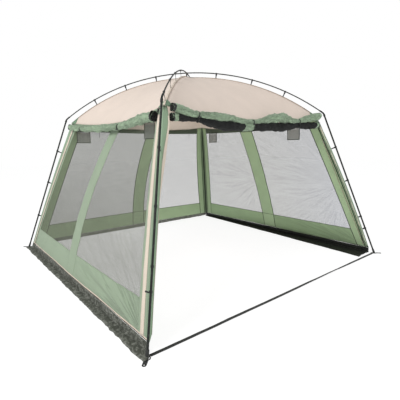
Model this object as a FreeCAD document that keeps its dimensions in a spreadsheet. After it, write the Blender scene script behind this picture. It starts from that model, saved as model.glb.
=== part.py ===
"""Screen house: a square mesh shelter hung under two crossed roof arches on four straight legs.

Millimetres, +Z up, origin on the floor under the crossing of the roof arches. The four feet stand
on the corners of a square. The front wall (-Y) is the door and is rolled up under the eave. The
right (+X), back (+Y) and left (-X) walls are closed mesh. The corners are n (front left),
r (front right), b (back right) and l (back left).
"""
import FreeCAD
import Part
import Sketcher
import math
import os
from FreeCAD import Placement, Rotation, Vector

# ---------------------------------------------------------------- driving dimensions

SIZES = [
    ("foot_half", 1700, "half the square of the feet"),
    ("elbow_half", 1192, "half the square of the elbows"),
    ("elbow_height", 1797, "floor to elbow"),
    ("apex_height", 2340, "floor to the axis of the upper arch at the crossing"),
    ("arch_step", 40, "how far the lower arch passes under the upper one"),
    ("arch_radius", 6.5, "outside radius of a roof pole"),
    ("arch_sections", 6, "sections in one roof arch"),
    ("leg_radius", 9.5, "outside radius of a leg tube"),
    ("leg_sections", 3, "sections in one leg"),
    ("leg_section", 627.5, "length of one section of a leg"),
    ("tube_wall", 1, "wall of every pole tube"),
    ("swage_gap", 0.15, "running gap between a reduced end or insert and its tube"),
    ("swage_length", 60, "length of a reduced end, and half the length of an insert"),
    ("butt_gap", 0.5, "gap where two tubes butt"),
    ("socket_radius", 9.5, "outside radius of an elbow's arch socket and bend"),
    ("socket_length", 45, "arch socket of an elbow"),
    ("socket_gap", 0.8, "play of the arch in its socket"),
    ("arch_end", 7, "elbow's bend to the end of the arch in its socket"),
    ("socket_floor", 5, "elbow's bend to the bottom of its socket"),
    ("collar_radius", 12, "shoulder of an elbow, on which the leg's top butts"),
    ("collar_length", 25, "length of that shoulder"),
    ("spigot_radius", 8.2, "spigot that the leg slides over"),
    ("bend_radius", 45, "centre line radius of an elbow's bend"),
    ("cap_radius", 13, "outside radius of a foot cap"),
    ("cap_height", 55, "foot cap, floor to its top along the leg"),
    ("cap_floor", 12, "thickness of a foot cap under its tube"),
    ("cap_play", 0.2, "play of a leg tube in its cap"),
    ("cap_bevel", 1.5, "bevel at a cap's rim, inwards"),
    ("cap_bevel_high", 3, "height of that bevel"),
    ("clip_wall", 3, "wall of a pole clip"),
    ("clip_gap", 0.6, "gap between a clip and its pole"),
    ("clip_height", 18, "length of a clip along its pole"),
    ("clip_stem", 10, "stem of a clip, from its ring to its strap"),
    ("strap_width", 16, "webbing that holds a clip"),
    ("strap_gap", 0.2, "gap between a clip's stem and its strap"),
    ("strap_short", 6, "how far a leg clip's strap ends short of the cloth corner"),
    ("strap_least", 2, "shortest strap that is made"),
    ("cloth", 2, "thickness of every cloth solid"),
    ("hem_gap", 1, "gap between neighbouring cloth solids"),
    ("corner_foot", 1665, "half width of the cloth at its lower corners"),
    ("corner_foot_height", 30, "height of those corners"),
    ("corner_lean", 0.3012, "how far the cloth corners lean in per unit of height"),
    ("band_low", 70, "lower edge of the solid cloth band"),
    ("band_high", 300, "upper edge of the solid cloth band"),
    ("mesh_high", 1635, "upper edge of the mesh"),
    ("wall_high", 1700, "upper edge of the walls"),
    ("post_width", 45, "corner strip on a closed wall"),
    ("post_high", 1740, "upper end of the corner strips"),
    ("post_door_width", 60, "corner strip on the door side"),
    ("post_edge", 5, "corner to the edge of a corner strip"),
    ("post_door_low", 115, "lower end of the corner strip on the door side"),
    ("border_width", 160, "corner to mesh"),
    ("flap_near", 75, "corner to the flap over a corner seam"),
    ("flap_width", 43, "width of that flap"),
    ("flap_lift", 4, "how far the flap stands off the wall"),
    ("zip_middle", 35, "corner to the middle of a zip"),
    ("zip_back", 40, "how far a zip lies behind the door's corner strip"),
    ("zip_width", 17, "width of the zip tape"),
    ("zip_low", 115, "lower end of the zips"),
    ("zip_high", 1500, "upper end of the zips"),
    ("slider_high", 1450, "height of the parked zip sliders"),
    ("coil_width", 5, "width of the zip's teeth"),
    ("coil_rise", 2, "height of the zip's teeth over their tape"),
    ("slider_length", 22, "length of a zip slider"),
    ("slider_half", 6, "half width of a zip slider"),
    ("slider_gap", 0.4, "running gap between a slider and its zip"),
    ("slider_wall", 2.8, "wall of a slider over the teeth"),
    ("bridge_rise", 5, "bridge of a slider"),
    ("bridge_half", 2, "half width of the bridge"),
    ("bridge_end", 8, "middle of a slider to either end of its bridge's foot"),
    ("bridge_slope", 2, "slope at the bridge's lower end"),
    ("bridge_crown", 4, "middle of a slider to the upper end of its bridge's crown"),
    ("pin_drop", 3, "middle of a slider down to its pin"),
    ("pin_radius", 1.2, "pin of a zip pull"),
    ("pin_gap", 0.3, "play of the pin in its bridge"),
    ("pull_length", 26, "length of a zip pull"),
    ("pull_half", 4.5, "half width of a zip pull"),
    ("pull_thick", 2, "thickness of a zip pull"),
    ("pull_arm", 1.6, "thickness of a pull's arms"),
    ("pull_arm_long", 12, "pin to the tab of a pull"),
    ("roof_edge", 1145, "half width of the roof at its corners"),
    ("roof_start", 24, "half width of the roof panels' upper ends"),
    ("seam_drop", 59, "upper arch's axis down to the roof seam at the crown"),
    ("seam_drop_edge", 40, "how much further down the seam is at the eave corners"),
    ("seam_hollow", 45, "how much lower the seams under the lower arch are midway"),
    ("eave_sag", 106, "how far the middle of an eave lies inside the straight line"),
    ("tape_half", 11, "half width of the binding over a roof seam"),
    ("tape_lift", 3, "binding over the seam line"),
    ("crown_radius", 75, "patch over the crown"),
    ("cover_radius", 38, "rolled cover"),
    ("mesh_roll_radius", 32, "rolled door mesh"),
    ("roll_half", 1075, "half length of a roll"),
    ("roll_out", 44, "roll's middle line, out from the eave"),
    ("roll_down", 0, "roll's middle line, down from the eave"),
    ("mesh_roll_in", 15, "door mesh roll, in from the cover roll"),
    ("mesh_roll_down", 78, "door mesh roll, down from the cover roll"),
    ("tie_radius", 2.5, "cord of a roll tie"),
    ("mesh_tie_step", 14, "ties of the mesh roll, along from those of the cover"),
    ("tie_gap", 0.8, "gap between a tie and its roll"),
    ("toggle_radius", 6, "toggle of a roll tie"),
    ("toggle_length", 34, "length of a toggle"),
    ("toggle_gap", 0.5, "gap between a toggle and its tie"),
    ("skirt_in", 1655, "top of a mud skirt, under the band"),
    ("skirt_fold", 1666, "where a mud skirt turns along the floor"),
    ("skirt_out", 1745, "outer edge of the left mud skirt"),
    ("skirt_back", 1712, "outer edge of the back mud skirt"),
    ("skirt_in_door", 1400, "inner edge of the right mud skirt at its door end"),
    ("skirt_in_back", 1625, "inner edge of the right mud skirt at its back end"),
    ("skirt_half", 1640, "half length of a mud skirt"),
    ("skirt_thick", 2.5, "thickness of a mud skirt"),
    ("tab_width", 32, "webbing of a peg tab"),
    ("tab_inner", 40, "peg tab, from the foot inwards"),
    ("tab_reach", 73, "foot to peg eyelet"),
    ("tab_thick", 2.5, "thickness of a peg tab"),
    ("tab_ring", 26, "tab round the foot"),
    ("tab_hole", 18, "hole of the tab for the foot"),
    ("eyelet_bore", 6, "bore of a peg eyelet"),
    ("eyelet_barrel", 7.5, "barrel of a peg eyelet"),
    ("eyelet_flange", 12, "flange of a peg eyelet"),
    ("eyelet_high", 4, "height of a peg eyelet"),
    ("ground_width", 30, "door ground strap"),
    ("ground_half", 1650, "half length of the door ground strap"),
    ("ground_out", 1692, "door ground strap, out from the middle"),
    ("pocket_width", 190, "hanging mesh pocket"),
    ("pocket_high", 170, "height of a hanging pocket"),
    ("pocket_thick", 3, "thickness of a hanging pocket"),
    ("pocket_top", 1650, "height of a pocket's hinge line"),
    ("pocket_in", 25, "pocket's hinge line, in from the wall"),
    ("cord_radius", 2.5, "short inside ties"),
    ("cord_length", 70, "length of the short inside ties"),
    ("cord_in", 7.5, "axis of those ties, in from the wall"),
    ("cord_top", 1628, "upper end of the short inside ties"),
]
# along each roof arch, half width of the square on which its clips lie
ROOF_CLIPS = {"n": (485, 725, 925, 1128), "r": (247, 566, 856),
              "b": (290, 580, 870), "l": (22, 307, 600, 902)}
# along each leg, distance from its elbow to its clips
LEG_CLIPS = {"n": (427, 890, 1330, 1504), "r": (450, 902, 1407, 1574),
             "b": (440, 900, 1410), "l": (453, 915, 1423)}
# along each wall, from its middle
ROLL_TIES = (-770, -20, 800)
POCKETS = {"pocket_right_front": ("right", -840), "pocket_right_back": ("right", 750),
           "pocket_left": ("left", 750), "pocket_back": ("back", 1005)}
INSIDE_TIES = (780, -820)
# from a roll's middle to its toggles: outwards and a little down
TOGGLE_WAY = Vector(0, -1, -0.35).normalize()

doc = FreeCAD.newDocument("screen_house")
sheet = doc.addObject("Spreadsheet::Sheet", "sizes")
for row, (alias, value, meaning) in enumerate(SIZES, 1):
    sheet.set(f"A{row}", alias)
    sheet.set(f"B{row}", str(value))
    sheet.setAlias(f"B{row}", alias)
    sheet.set(f"C{row}", meaning)
doc.recompute()

UP = Vector(0, 0, 1)
CORNERS = {"n": (-1, -1), "r": (1, -1), "b": (1, 1), "l": (-1, 1)}
# the two walls that meet at each corner, with the end of the wall that does
CORNER_WALLS = {"n": (("left", 1), ("front", -1)), "r": (("front", 1), ("right", -1)),
                "b": (("right", 1), ("back", -1)), "l": (("back", 1), ("left", -1))}
WALLS = ("front", "right", "back", "left")
CLOSED_WALLS = WALLS[1:]
# half width of each closed wall at the top of its mesh, and how far its cloth bows outwards
WALL_FORM = {"right": (1030, 50), "back": (1040, 160), "left": (1030, 80)}
# the strip up each closed wall: how far along the wall its middle lies, and its half width
WALL_STRIPS = {"right": (-20, 120), "back": (-75, 110), "left": (0, 100)}
# which end of each roof panel lies on the lower pair of seams
LOW_END = {"front": -1, "right": 1, "back": -1, "left": 1}
# the door's flap at each of its corners, between two distances in from the corner
DOOR_FLAPS = {"n": (20, 60), "r": (40, 62)}
# sections through which the roof's cloth and the walls' cloth are drawn
ROOF_STEPS = 7
WALL_LEVELS = 7
NODES = {}


def size(alias):
    return float(getattr(sheet, alias))


# ---------------------------------------------------------------- ways of making a piece

def node(label, item):
    """Names a finished sub-part. Every one of these is written to its own file."""
    item.Label = label
    NODES[label] = item
    return item


def bound(kind, name, place=None, **texts):
    """A primitive or feature whose properties are bound to the sheet's cells."""
    item = doc.addObject(kind, name)
    for prop, text in texts.items():
        item.setExpression(prop, text)
    if place:
        item.Placement = place
    return item


def cylinder(name, radius, height, place=None):
    return bound("Part::Cylinder", name, place, Radius=radius, Height=height)


def box(name, length, width, height, place=None):
    return bound("Part::Box", name, place, Length=length, Width=width, Height=height)


def cut(name, base, tool):
    item = doc.addObject("Part::Cut", name)
    item.Base = base
    item.Tool = tool
    return item


def fuse(name, items):
    item = doc.addObject("Part::MultiFuse", name)
    item.Shapes = items
    return item


def feature(name, shapes, place=None):
    """A piece whose form no primitive gives, as one solid or as several separate ones."""
    item = doc.addObject("Part::Feature", name)
    item.Shape = shapes[0] if len(shapes) == 1 else Part.makeCompound(shapes)
    if place:
        item.Placement = place
    return item


def copied(master, places):
    """The same piece at several places."""
    shapes = []
    for place in places:
        shape = master.Shape.copy()
        shape.Placement = place.multiply(shape.Placement)
        shapes.append(shape)
    return shapes


def axes(x_axis, y_axis, origin):
    """The placement whose local X and Y point along two perpendicular directions."""
    x_axis = Vector(x_axis).normalize()
    y_axis = Vector(y_axis).normalize()
    z_axis = x_axis.cross(y_axis)
    matrix = FreeCAD.Matrix(x_axis.x, y_axis.x, z_axis.x, origin.x,
                            x_axis.y, y_axis.y, z_axis.y, origin.y,
                            x_axis.z, y_axis.z, z_axis.z, origin.z, 0, 0, 0, 1)
    return Placement(matrix)


def at(x=0.0, y=0.0, z=0.0):
    return Placement(Vector(x, y, z), Rotation())


def start_body(name):
    return doc.addObject("PartDesign::Body", name)


def outline(body, name, role, corners, hole=None):
    """A closed sketch on one of the body's planes; each corner is two expressions."""
    sketch = body.newObject("Sketcher::SketchObject", name)
    plane = [item for item in body.Origin.OriginFeatures if item.Role == role][0]
    sketch.AttachmentSupport = (plane, [""])
    sketch.MapMode = "FlatFace"
    spots = [[float(sheet.evalExpression(text)) for text in corner] for corner in corners]
    count = len(spots)
    for i, (x, y) in enumerate(spots):
        next_x, next_y = spots[(i + 1) % count]
        sketch.addGeometry(Part.LineSegment(Vector(x, y, 0), Vector(next_x, next_y, 0)))
    for i in range(count):
        sketch.addConstraint(Sketcher.Constraint("Coincident", i, 2, (i + 1) % count, 1))
    for i, corner in enumerate(corners):
        for direction, axis, text, value in zip(("DistanceX", "DistanceY"), (-2, -1), corner, spots[i]):
            if abs(value) < 1e-9:
                sketch.addConstraint(Sketcher.Constraint("PointOnObject", i, 1, axis))
            else:
                number = sketch.addConstraint(Sketcher.Constraint(direction, -1, 1, i, 1, value))
                sketch.setExpression(f"Constraints[{number}]", text)
    if hole:
        x, y, radius = [float(sheet.evalExpression(text)) for text in hole]
        circle = sketch.addGeometry(Part.Circle(Vector(x, y, 0), UP, radius))
        for kind, value, text in (("DistanceX", x, hole[0]), ("DistanceY", y, hole[1])):
            number = sketch.addConstraint(Sketcher.Constraint(kind, -1, 1, circle, 3, value))
            sketch.setExpression(f"Constraints[{number}]", text)
        number = sketch.addConstraint(Sketcher.Constraint("Radius", circle, radius))
        sketch.setExpression(f"Constraints[{number}]", hole[2])
    return sketch


def revolve(body, name, sketch):
    turn = body.newObject("PartDesign::Revolution", name)
    turn.Profile = sketch
    turn.ReferenceAxis = (sketch, ["V_Axis"])
    turn.Angle = 360
    body.Tip = turn
    return body


def pad(body, name, sketch, length):
    """Pads a sketch to both sides of its plane."""
    item = body.newObject("PartDesign::Pad", name)
    item.Profile = sketch
    item.setExpression("Length", length)
    item.Midplane = True
    body.Tip = item
    return body


# ---------------------------------------------------------------- the shelter's lines

chord = math.sqrt(2) * size("elbow_half")
lean = math.atan2(math.sqrt(2) * (size("foot_half") - size("elbow_half")), size("elbow_height"))
leg_line = size("elbow_height") / math.cos(lean)
ARCH_OF = {"r": 0, "l": 0, "n": size("arch_step"), "b": size("arch_step")}


def corner_place(corner, half, height):
    """The frame of a corner: local X points outwards along the diagonal."""
    side_x, side_y = CORNERS[corner]
    turn = Rotation(UP, math.degrees(math.atan2(side_y, side_x)))
    return Placement(Vector(side_x * half, side_y * half, height), turn)


def arch_form(step):
    """Radius and centre height of an arch whose crown lies step below the upper one's."""
    rise = size("apex_height") - step - size("elbow_height")
    radius = (chord ** 2 + rise ** 2) / (2 * rise)
    return radius, size("apex_height") - step - radius


def bend_of(corner):
    """Angle of the arch's end below the horizontal, the turn of the elbow and its tangent."""
    slope = math.asin(chord / arch_form(ARCH_OF[corner])[0])
    turn = math.pi / 2 - lean - slope
    return slope, turn, size("bend_radius") * math.tan(turn / 2)


def corner_half(z):
    """Half width of the cloth at its corners, at height z."""
    return size("corner_foot") - size("corner_lean") * (z - size("corner_foot_height"))


def wall_out(wall, along, z):
    """How far out a wall's cloth lies, at a distance along it from its middle and a height."""
    corner = corner_half(z)
    if wall == "front":
        return corner
    eave_half, bow = WALL_FORM[wall]
    foot = size("corner_foot")
    level = (z - size("corner_foot_height")) / (size("mesh_high") - size("corner_foot_height"))
    middle = foot + (eave_half - foot) * level + bow * 4 * level * (1 - level)
    return corner + (middle - corner) * (1 - min(1.0, abs(along) / corner) ** 2)


def wall_turn(wall):
    """Every wall is drawn as the front one, with X along it, and turned about the middle."""
    return Placement(Vector(), Rotation(UP, 90 * WALLS.index(wall)))


def seam_height(corner, half):
    """Height of the roof seam that runs to a corner, at a half width of the roof."""
    radius, centre = arch_form(0)
    level = half / size("roof_edge")
    drop = size("seam_drop") + size("seam_drop_edge") * level ** 3
    if corner in "nb":
        drop += size("seam_hollow") * 4 * level * (1 - level)
    return centre + math.sqrt(radius ** 2 - 2 * half ** 2) - drop


def roof_point(half, across, inset=0.0, low_end=-1):
    """A point of a roof panel, drawn as the front one; across runs from -1 to 1 between seams."""
    high, low = seam_height("r", half), seam_height("n", half)
    tilt = math.atan(high - seam_height("r", half + 1))
    sag = size("eave_sag") * half / size("roof_edge") * (1 - across ** 2) + inset
    reach = across * (half - size("hem_gap") - inset)
    ridge = (high + low) / 2 - low_end * (high - low) / 2 * reach / half
    return Vector(reach, -half + sag * math.sin(tilt), ridge - sag * math.cos(tilt))


# ---------------------------------------------------------------- roof arches and legs

def arch_frame(corner, angle):
    """A frame on an arch: X radially outwards, Y along it towards the crown, and its centre."""
    centre = arch_form(ARCH_OF[corner])[1]
    side_x, side_y = CORNERS[corner]
    outwards = Vector(side_x, side_y, 0).normalize()
    radial = outwards * math.sin(angle) + UP * math.cos(angle)
    forward = UP * math.sin(angle) - outwards * math.cos(angle)
    return radial, forward, UP * centre


def make_arch(label, corner):
    """Six curved tubes end to end, from elbow to elbow."""
    radius = arch_form(ARCH_OF[corner])[0]
    slope, _, tangent = bend_of(corner)
    first = slope - (tangent + size("arch_end")) / radius
    count = int(size("arch_sections"))
    step = 2 * first / count
    span = math.degrees(step - size("butt_gap") / radius)
    outer = bound("Part::Torus", label + "_outer", Radius2="sizes.arch_radius")
    inner = bound("Part::Torus", label + "_inner", Radius2="sizes.arch_radius - sizes.tube_wall")
    for item in (outer, inner):
        item.Radius1 = radius
        item.Angle3 = span
    tube = cut(label + "_tube", outer, inner)
    bar = bound("Part::Torus", label + "_bar",
                Radius2="sizes.arch_radius - sizes.tube_wall - sizes.swage_gap")
    bar.Radius1 = radius
    bar.Angle3 = math.degrees(2 * size("swage_length") / radius)
    doc.recompute()
    tubes, bars = [], []
    for i in range(count):
        radial, forward, centre = arch_frame(corner, first - i * step)
        tubes.append(axes(radial, forward, centre))
        if i:
            angle = first - i * step + size("swage_length") / radius
            radial, forward, centre = arch_frame(corner, angle)
            bars.append(axes(radial, forward, centre))
    node(label, feature(label + "_sections", copied(tube, tubes)))
    return copied(bar, bars)


inserts = make_arch("roof_arch_upper", "r") + make_arch("roof_arch_lower", "n")
node("arch_inserts", feature("inserts", inserts))


def make_elbow(corner):
    """A bent steel fitting: arch socket, bend, shoulder, and the spigot that the leg slides over."""
    slope, turn, tangent = bend_of(corner)
    arch_way = Vector(-math.cos(slope), 0, math.sin(slope))
    leg_way = Vector(math.sin(lean), 0, -math.cos(lean))
    side = Vector(0, 1, 0)
    name = "elbow_" + corner
    socket = cylinder(name + "_socket", "sizes.socket_radius", "sizes.socket_length",
                      axes(side, arch_way.cross(side), arch_way * tangent))
    bore = cylinder(name + "_bore", "sizes.arch_radius + sizes.socket_gap", "sizes.socket_length",
                    axes(side, arch_way.cross(side), arch_way * (tangent + size("socket_floor"))))
    middle = (arch_way + leg_way).normalize() * (size("bend_radius") / math.cos(turn / 2))
    start = arch_way * tangent - middle
    bend = bound("Part::Torus", name + "_bend", axes(start, arch_way * -1, middle),
                 Radius1="sizes.bend_radius", Radius2="sizes.socket_radius")
    bend.Angle3 = math.degrees(turn)
    shoulder = cylinder(name + "_shoulder", "sizes.collar_radius", "sizes.collar_length",
                        axes(side, leg_way.cross(side), leg_way * tangent))
    spigot = cylinder(name + "_spigot", "sizes.spigot_radius",
                      "sizes.collar_length + sizes.swage_length",
                      axes(side, leg_way.cross(side), leg_way * tangent))
    body = cut(name + "_body", fuse(name + "_blank", [socket, bend, shoulder, spigot]), bore)
    doc.recompute()
    place = corner_place(corner, size("elbow_half"), size("elbow_height"))
    node(name, feature(name + "_placed", copied(body, [place])))


def make_leg_tubes():
    """The lowest tube of a leg, and one whose reduced lower end enters the tube below it."""
    plain = start_body("leg_plain")
    sketch = outline(plain, "plain_profile", "XZ_Plane", [
        ("sizes.leg_radius - sizes.tube_wall", "0"),
        ("sizes.leg_radius", "0"),
        ("sizes.leg_radius", "sizes.leg_section"),
        ("sizes.leg_radius - sizes.tube_wall", "sizes.leg_section")])
    revolve(plain, "plain_turn", sketch)
    reduced = start_body("leg_reduced")
    swage = "sizes.leg_radius - sizes.tube_wall - sizes.swage_gap"
    sketch = outline(reduced, "reduced_profile", "XZ_Plane", [
        ("sizes.leg_radius", "0"),
        ("sizes.leg_radius", "sizes.leg_section"),
        ("sizes.leg_radius - sizes.tube_wall", "sizes.leg_section"),
        ("sizes.leg_radius - sizes.tube_wall", "2 * sizes.tube_wall"),
        (swage + " - sizes.tube_wall", "2 * sizes.tube_wall"),
        (swage + " - sizes.tube_wall", "-sizes.swage_length"),
        (swage, "-sizes.swage_length"),
        (swage, "0")])
    revolve(reduced, "reduced_turn", sketch)
    return plain, reduced


def leg_frame(corner):
    """A leg's own frame: local Z runs up the leg from its foot, local X points outwards."""
    leg_way = Vector(-math.sin(lean), 0, math.cos(lean))
    side = Vector(0, 1, 0)
    return corner_place(corner, size("foot_half"), 0).multiply(
        axes(side.cross(leg_way), side, Vector()))


def make_leg(corner, plain, reduced):
    stand = leg_frame(corner)
    first = size("cap_floor") + size("butt_gap")
    step = size("leg_section") + size("butt_gap")
    tubes = copied(plain, [stand.multiply(at(z=first))])
    for i in range(1, int(size("leg_sections"))):
        tubes += copied(reduced, [stand.multiply(at(z=first + i * step))])
    node("leg_" + corner, feature("leg_tubes_" + corner, tubes))


def make_foot_caps():
    """A moulded cap over each leg's lower end, cut level so that it stands flat."""
    body = start_body("cap_body")
    sketch = outline(body, "cap_profile", "XZ_Plane", [
        ("0", "-sizes.cap_radius"),
        ("sizes.cap_radius", "-sizes.cap_radius"),
        ("sizes.cap_radius", "sizes.cap_height - sizes.cap_bevel_high"),
        ("sizes.cap_radius - sizes.cap_bevel", "sizes.cap_height"),
        ("sizes.leg_radius + sizes.cap_play", "sizes.cap_height"),
        ("sizes.leg_radius + sizes.cap_play", "sizes.cap_floor"),
        ("0", "sizes.cap_floor")])
    revolve(body, "cap_turn", sketch)
    body.Placement = axes(Vector(math.cos(lean), 0, math.sin(lean)), Vector(0, 1, 0), Vector())
    floor = box("cap_floor_cut", "8 * sizes.cap_radius", "8 * sizes.cap_radius",
                "4 * sizes.cap_radius")
    half = 4 * size("cap_radius")
    floor.Placement = at(-half, -half, -half)
    cap = cut("cap_level", body, floor)
    doc.recompute()
    for corner in CORNERS:
        place = corner_place(corner, size("foot_half"), 0)
        node("foot_cap_" + corner, feature("cap_" + corner, copied(cap, [place])))


for corner in CORNERS:
    make_elbow(corner)
leg_tubes = make_leg_tubes()
doc.recompute()
for corner in CORNERS:
    make_leg(corner, *leg_tubes)
make_foot_caps()

# ---------------------------------------------------------------- clips and their straps


def make_clip(name, pole):
    """A snap-on clip drawn round local Z: its mouth faces -X and its stem +X."""
    ring = cylinder(name + "_ring", f"{pole} + sizes.clip_gap + sizes.clip_wall",
                    "sizes.clip_height")
    hole = cylinder(name + "_hole", f"{pole} + sizes.clip_gap", "sizes.clip_height")
    mouth = box(name + "_mouth", f"{pole} + sizes.clip_gap + sizes.clip_wall", f"1.4 * {pole}",
                "sizes.clip_height")
    stem = box(name + "_stem", "sizes.clip_stem + sizes.clip_wall / 2", "sizes.clip_wall + 1",
               "sizes.clip_height")
    doc.recompute()
    outer = ring.Radius.Value
    mouth.Placement = at(-outer, -mouth.Width.Value / 2)
    stem.Placement = at(outer - size("clip_wall") / 2, -stem.Width.Value / 2)
    clip = cut(name + "_snap", cut(name + "_open", fuse(name + "_blank", [ring, stem]), hole), mouth)
    doc.recompute()
    return clip, outer + size("clip_stem")


def strap_shape(start, length):
    """Webbing from the end of a clip's stem, in the clip's own frame."""
    if length < size("strap_least"):
        return None
    width = size("strap_width")
    middle = (size("clip_height") - width) / 2
    return Part.makeBox(length, size("cloth"), width, Vector(start, -size("cloth") / 2, middle))


roof_clip, roof_reach = make_clip("roof_clip_master", "sizes.arch_radius")
leg_clip, leg_reach = make_clip("leg_clip_master", "sizes.leg_radius")
half_clip = size("clip_height") / 2
roof_places, leg_places, straps = [], [], []


def roof_clip_place(corner, half):
    """A clip on an arch, with its stem towards the roof below."""
    radius = arch_form(ARCH_OF[corner])[0]
    radial, forward, centre = arch_frame(corner, math.asin(math.sqrt(2) * half / radius))
    across = forward.cross(radial * -1)
    return axes(radial * -1, across, centre + radial * radius - forward * half_clip)


def drop_to_seam(corner, half):
    """Distance from an arch's axis, square to the arch, down to the roof's seam."""
    radius, centre = arch_form(ARCH_OF[corner])
    slope = math.asin(math.sqrt(2) * half / radius)

    def drop(spot):
        return centre + math.sqrt(radius ** 2 - 2 * spot ** 2) - seam_height(corner, spot)

    met = half - drop(half) * math.cos(slope) * math.sin(slope) / math.sqrt(2)
    return drop(met) * math.cos(slope)


def add_strap(place, start, length):
    shape = strap_shape(start, length)
    if shape:
        shape.Placement = place
        straps.append(shape)


lift = size("tape_lift") + 2 * size("cloth")
for corner, halves in ROOF_CLIPS.items():
    for half in halves:
        place = roof_clip_place(corner, half)
        roof_places.append(place)
        add_strap(place, roof_reach + size("strap_gap"), drop_to_seam(corner, half) - roof_reach - lift)
for corner, distances in LEG_CLIPS.items():
    for distance in distances:
        up_leg = leg_line - distance
        place = leg_frame(corner).multiply(at(z=up_leg - half_clip))
        place = place.multiply(Placement(Vector(), Rotation(UP, 180)))
        leg_places.append(place)
        height = up_leg * math.cos(lean)
        pole = math.sqrt(2) * size("foot_half") - up_leg * math.sin(lean)
        cloth = math.sqrt(2) * corner_half(height)
        add_strap(place, leg_reach + size("strap_gap"),
                  (pole - cloth) * math.cos(lean) - leg_reach - size("strap_short"))
node("roof_clips", feature("roof_clip_set", copied(roof_clip, roof_places)))
node("leg_clips", feature("leg_clip_set", copied(leg_clip, leg_places)))
node("clip_straps", feature("strap_set", straps))

# ---------------------------------------------------------------- roof


def section_wire(front, rear):
    """A thin closed section between two three-point arcs."""
    edges = []
    for points in (front, rear[::-1]):
        first, middle, last = points
        bowed = abs((middle - first).cross(last - first).Length) > 1e-3
        edges.append(Part.Arc(first, middle, last).toShape() if bowed
                     else Part.makeLine(first, last))
    edges.insert(1, Part.makeLine(front[-1], rear[-1]))
    edges.append(Part.makeLine(rear[0], front[0]))
    return Part.Wire(edges)


def roof_panel(low_end):
    """One of the four roof panels: its ridges follow the seams and its eave is cut hollow."""
    start, edge = size("roof_start"), size("roof_edge")
    wires = []
    for i in range(ROOF_STEPS + 1):
        half = start + (edge - start) * i / ROOF_STEPS
        top = [roof_point(half, across, 0, low_end) for across in (-1, 0, 1)]
        low = [roof_point(half, across, size("cloth"), low_end) for across in (-1, 0, 1)]
        wires.append(section_wire(top, low))
    return Part.makeLoft(wires, True, False)


def seam_binding(corner):
    """Binding that lies over one roof seam, from the crown patch to the eave."""
    start, edge = size("crown_radius") / math.sqrt(2) + 2, size("roof_edge")
    wide, thick = size("tape_half"), size("cloth")
    wires = []
    for i in range(ROOF_STEPS + 1):
        half = start + (edge - start) * i / ROOF_STEPS
        reach, height = math.sqrt(2) * half, seam_height(corner, half) + size("tape_lift")
        spots = [Vector(reach, -wide, height), Vector(reach, wide, height),
                 Vector(reach, wide, height + thick), Vector(reach, -wide, height + thick)]
        wires.append(Part.makePolygon(spots + spots[:1]))
    shape = Part.makeLoft(wires, True, False)
    shape.Placement = corner_place(corner, 0, 0)
    return shape


for wall in WALLS:
    node("roof_panel_" + wall, feature("panel_" + wall, [roof_panel(LOW_END[wall])], wall_turn(wall)))
node("roof_seam_bindings", feature("bindings", [seam_binding(corner) for corner in CORNERS]))
patch = cylinder("crown_disc", "sizes.crown_radius", "sizes.cloth",
                 at(z=seam_height("r", 0) + size("tape_lift") - 1))
node("crown_patch", patch)

# ---------------------------------------------------------------- walls


def strip(wall, left, right, low, high, lift=0.0, levels=WALL_LEVELS):
    """A cloth strip on a wall: left and right give its edges at each height."""
    wires = []
    for i in range(levels):
        z = low + (high - low) * i / (levels - 1)
        first, last = left(z), right(z)
        front, rear = [], []
        for along in (first, (first + last) / 2, last):
            out = wall_out(wall, along, z) + lift
            front.append(Vector(along, -out, z))
            rear.append(Vector(along, -out + size("cloth"), z))
        wires.append(section_wire(front, rear))
    shape = Part.makeLoft(wires, True, False)
    shape.Placement = wall_turn(wall)
    return shape


def beside(end, near, far, low, high, wall, lift=0.0):
    """A strip along one end of a wall, between two distances in from the corner."""
    def edge(inset):
        return lambda z: end * (corner_half(z) - inset)
    if end > 0:
        return strip(wall, edge(far), edge(near), low, high, lift)
    return strip(wall, edge(near), edge(far), low, high, lift)


def fixed(along):
    return lambda z: along


gap = size("hem_gap")
low, high = size("band_low") + gap, size("band_high")
for corner, ends in CORNER_WALLS.items():
    strips = []
    for wall, end in ends:
        door = wall == "front"
        width = size("post_door_width" if door else "post_width")
        foot = size("post_door_low") if door else low
        strips.append(beside(end, size("post_edge"), width, foot, size("post_high"), wall))
    node("corner_post_" + corner, feature("post_" + corner, strips))

flaps = []
for corner, ends in CORNER_WALLS.items():
    for wall, end in ends:
        if wall == "front":
            near, far = DOOR_FLAPS[corner]
        else:
            near, far = size("flap_near"), size("flap_near") + size("flap_width")
        flaps.append(beside(end, near, far, size("post_door_low"), size("mesh_high"), wall,
                            size("flap_lift")))
node("seam_flaps", feature("flap_set", flaps))

for wall in CLOSED_WALLS:
    inner = size("post_width") + gap
    edge = size("border_width")
    middle, half = WALL_STRIPS[wall]
    strip_left, strip_right = middle - half, middle + half
    band = strip(wall, lambda z: -corner_half(z) + inner, lambda z: corner_half(z) - inner,
                 low, high - gap)
    node("band_" + wall, feature("band_cloth_" + wall, [band]))
    trims = [beside(end, inner, edge, high, size("wall_high"), wall) for end in (-1, 1)]
    trims.append(strip(wall, fixed(strip_left), fixed(strip_right), high, size("mesh_high")))
    trims.append(strip(wall, lambda z: -corner_half(z) + edge + gap,
                       lambda z: corner_half(z) - edge - gap,
                       size("mesh_high") + gap, size("wall_high"), levels=3))
    node("border_" + wall, feature("border_cloth_" + wall, trims))
    mesh = [strip(wall, lambda z: -corner_half(z) + edge + gap, fixed(strip_left - gap),
                  high, size("mesh_high")),
            strip(wall, fixed(strip_right + gap), lambda z: corner_half(z) - edge - gap,
                  high, size("mesh_high"))]
    node("mesh_" + wall, feature("mesh_cloth_" + wall, mesh))

# ---------------------------------------------------------------- mud skirts


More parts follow.
